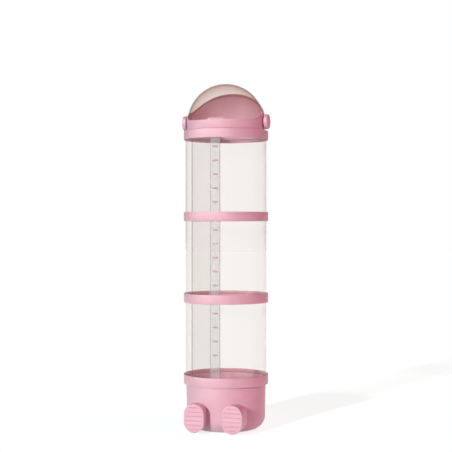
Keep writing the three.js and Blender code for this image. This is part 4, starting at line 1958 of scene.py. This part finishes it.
    def build(self) -> None:
        """Makes the sub-assembly and puts it on its body."""
        pivot = self.tower.pivot
        visor = dress(self.model_visor(), SMOKE, Body.VISOR, Slot.SMOKE_VISOR, "visor")
        refinish(visor, THICK_TAB, self.on_tab)
        place_pair(self.model_knob(), "knob", "cap", pivot, PINK, Body.VISOR, Slot.PINK_ABS)
        screw = pan_screw("knob_screw", self.pad_face - self.tower.gap, self.screw_head,
                          self.screw_head_thickness, self.screw_radius, self.screw_length)
        place_pair(screw, "knob_screw", "pan", pivot, ZINC, Body.VISOR, Slot.SCREW_STEEL)


@dataclass
class Studio:
    """The floor, the soft light and the camera."""

    azimuth: float = 15.0
    distance: float = 4.456
    eye_height: float = 0.794
    lens: float = 90.1
    sun_azimuth: float = -18.0
    sun_elevation: float = 13.0
    sun_angle: float = 2.5
    sun_strength: float = 2.4
    fill: str = "#ff8ea8"
    room: float = 0.06
    overhead: float = 0.5
    side_azimuth: float = 86.0
    side_edge: float = 90.0
    side_gain: float = 1.75
    rear_elevation: float = 20.0
    rear_edge: float = 72.0
    rear_gain: float = 0.5
    mirror_near: float = 0.08
    mirror_back: float = 0.3
    back_edge: float = 60.0
    box_azimuth: float = -34.0
    box_elevation: float = 12.0
    box_mirror: float = 4.0
    box_edge: float = 62.0
    box_core: float = 18.0
    floor_size: float = 60.0
    sensor: float = 36.0
    clear_layers: int = 32

    def place_camera(self) -> None:
        """Puts the camera level at the photograph's angle."""
        turn = math.radians(self.azimuth)
        deselect_all()
        bpy.ops.object.camera_add(
            location=(self.distance * math.sin(turn), -self.distance * math.cos(turn), self.eye_height),
            rotation=(math.radians(90), 0.0, turn),
        )
        camera = bpy.context.object
        camera.data.lens = self.lens
        camera.data.sensor_width = self.sensor
        bpy.context.scene.camera = camera

    @staticmethod
    def towards(azimuth: float, elevation: float) -> Vector:
        """The direction at an azimuth from the front towards +X and an elevation, in degrees.

        Args:
            azimuth: The azimuth.
            elevation: The elevation.

        Returns:
            A vector of length 1.
        """
        turn, rise = math.radians(azimuth), math.radians(elevation)
        return Vector((math.sin(turn) * math.cos(rise), -math.cos(turn) * math.cos(rise), math.sin(rise)))

    def lobe(self, tree: bpy.types.NodeTree, direction: bpy.types.NodeSocket, azimuth: float,
             elevation: float, edge: float, core: float = 0.0, fade: str = "LINEAR") -> bpy.types.NodeSocket:
        """Adds a round patch of the room that fades out towards its edge.

        Args:
            tree: The world's node tree.
            direction: The direction that is looked in.
            azimuth: Where the patch's middle is, in degrees from the front towards +X.
            elevation: How high its middle is, in degrees.
            edge: Where it has faded out, in degrees from its middle.
            core: Where it starts to fade.
            fade: The interpolation between them.

        Returns:
            The socket that is 1 in the core and 0 beyond the edge.
        """
        near = add_node(tree, "ShaderNodeVectorMath", {
            "operation": "DOT_PRODUCT", 0: direction, 1: self.towards(azimuth, elevation),
        }).outputs["Value"]
        return remap(tree, near, (math.cos(math.radians(edge)), math.cos(math.radians(core))), fade=fade)

    def hang_lamp(self) -> None:
        """Adds the key light. Glossy skins don't mirror it, but see a softbox."""
        towards = self.towards(self.sun_azimuth, self.sun_elevation)
        turn = towards.to_track_quat("Z", "Y").to_euler()
        deselect_all()
        bpy.ops.object.light_add(type="SUN", location=towards, rotation=turn)
        lamp = bpy.context.object
        lamp.data.energy = self.sun_strength
        lamp.data.angle = math.radians(self.sun_angle)
        lamp.visible_glossy = False

    def make_room(self) -> None:
        """Makes the room round the tower.

        What is lit by it sees a dim room, a rosy fill on the right and a weak white wall behind the tower.
        Glossy skins mirror a softbox on the left and a paler wall behind. The camera sees plain white.
        """
        world = bpy.data.worlds.new("white room")
        world.use_nodes = True
        tree = world.node_tree
        tree.nodes.clear()
        direction = add_node(tree, "ShaderNodeTexCoord").outputs["Generated"]
        # The ceiling is dark, so that open tubs and the hollow lid are deep inside
        height = add_node(tree, "ShaderNodeSeparateXYZ", {"Vector": direction}).outputs["Z"]
        ceiling = remap(tree, height, (0.0, 1.0), (1.0, self.overhead))
        room = arithmetic(tree, "MULTIPLY", ceiling, self.room)
        # The fill on the right gives the photo's rosy shade
        side = self.lobe(tree, direction, self.side_azimuth, 0.0, self.side_edge)
        rosy = arithmetic(tree, "MULTIPLY", arithmetic(tree, "MULTIPLY", side, self.side_gain), ceiling)
        # The white wall lights what faces away from the camera
        rear = self.lobe(tree, direction, self.azimuth + 180, self.rear_elevation, self.rear_edge)
        white = arithmetic(tree, "MULTIPLY_ADD", rear, self.rear_gain, room)
        lit = add_node(tree, "ShaderNodeVectorMath", {
            "operation": "MULTIPLY_ADD", 0: rosy, 1: linear(self.fill)[:3], 2: white,
        }).outputs["Vector"]
        # What a glossy skin mirrors
        box = self.lobe(tree, direction, self.box_azimuth, self.box_elevation, self.box_edge, self.box_core,
                        "SMOOTHSTEP")
        back = self.lobe(tree, direction, self.sun_azimuth + 180, -self.sun_elevation, self.back_edge)
        walls = remap(tree, back, (0.0, 1.0), (self.mirror_near, self.mirror_back))
        mirrored = arithmetic(tree, "MULTIPLY_ADD", box, self.box_mirror, walls)
        path = add_node(tree, "ShaderNodeLightPath").outputs
        seen = blend(tree, path["Is Glossy Ray"], lit, mirrored)
        seen = blend(tree, path["Is Camera Ray"], seen, WHITE)
        shader = add_node(tree, "ShaderNodeBackground", {"Color": seen}).outputs["Background"]
        add_node(tree, "ShaderNodeOutputWorld", {"Surface": shader})
        bpy.context.scene.world = world

    def lay_floor(self) -> None:
        """Lays the plain floor that the tower stands on."""
        deselect_all()
        bpy.ops.mesh.primitive_plane_add(size=self.floor_size)
        floor = bpy.context.object
        floor.name = "studio_floor"
        floor.data.materials.append(PAPER.material())

    def build(self) -> None:
        """Sets up the studio."""
        self.place_camera()
        self.hang_lamp()
        self.make_room()
        self.lay_floor()
        scene = bpy.context.scene
        scene.view_settings.view_transform = "Standard"
        # One look through the tower crosses many see-through skins
        scene.cycles.transparent_max_bounces = self.clear_layers


def main() -> None:
    """Builds the tower from the floor up, then the studio round it."""
    logging.basicConfig(level=logging.INFO, format="%(name)s: %(message)s")
    tower = TowerSizes()
    BaseTub(tower).build()
    for word, body, bottom in (
        ("lower", Body.LOWER_SHEET, tower.lower_sheet),
        ("middle", Body.MIDDLE_SHEET, tower.middle_sheet),
        ("upper", Body.UPPER_SHEET, tower.upper_sheet),
    ):
        ClearTube(tower, word, body, bottom).build()
    JoiningRing(tower, "lower", Body.LOWER_RING, tower.lower_ring).build()
    JoiningRing(tower, "upper", Body.UPPER_RING, tower.upper_ring).build()
    lid = HelmetLid(tower)
    lid.build()
    VisorUnit(tower, lid).build()
    Studio().build()


if __name__ == "__main__":
    main()
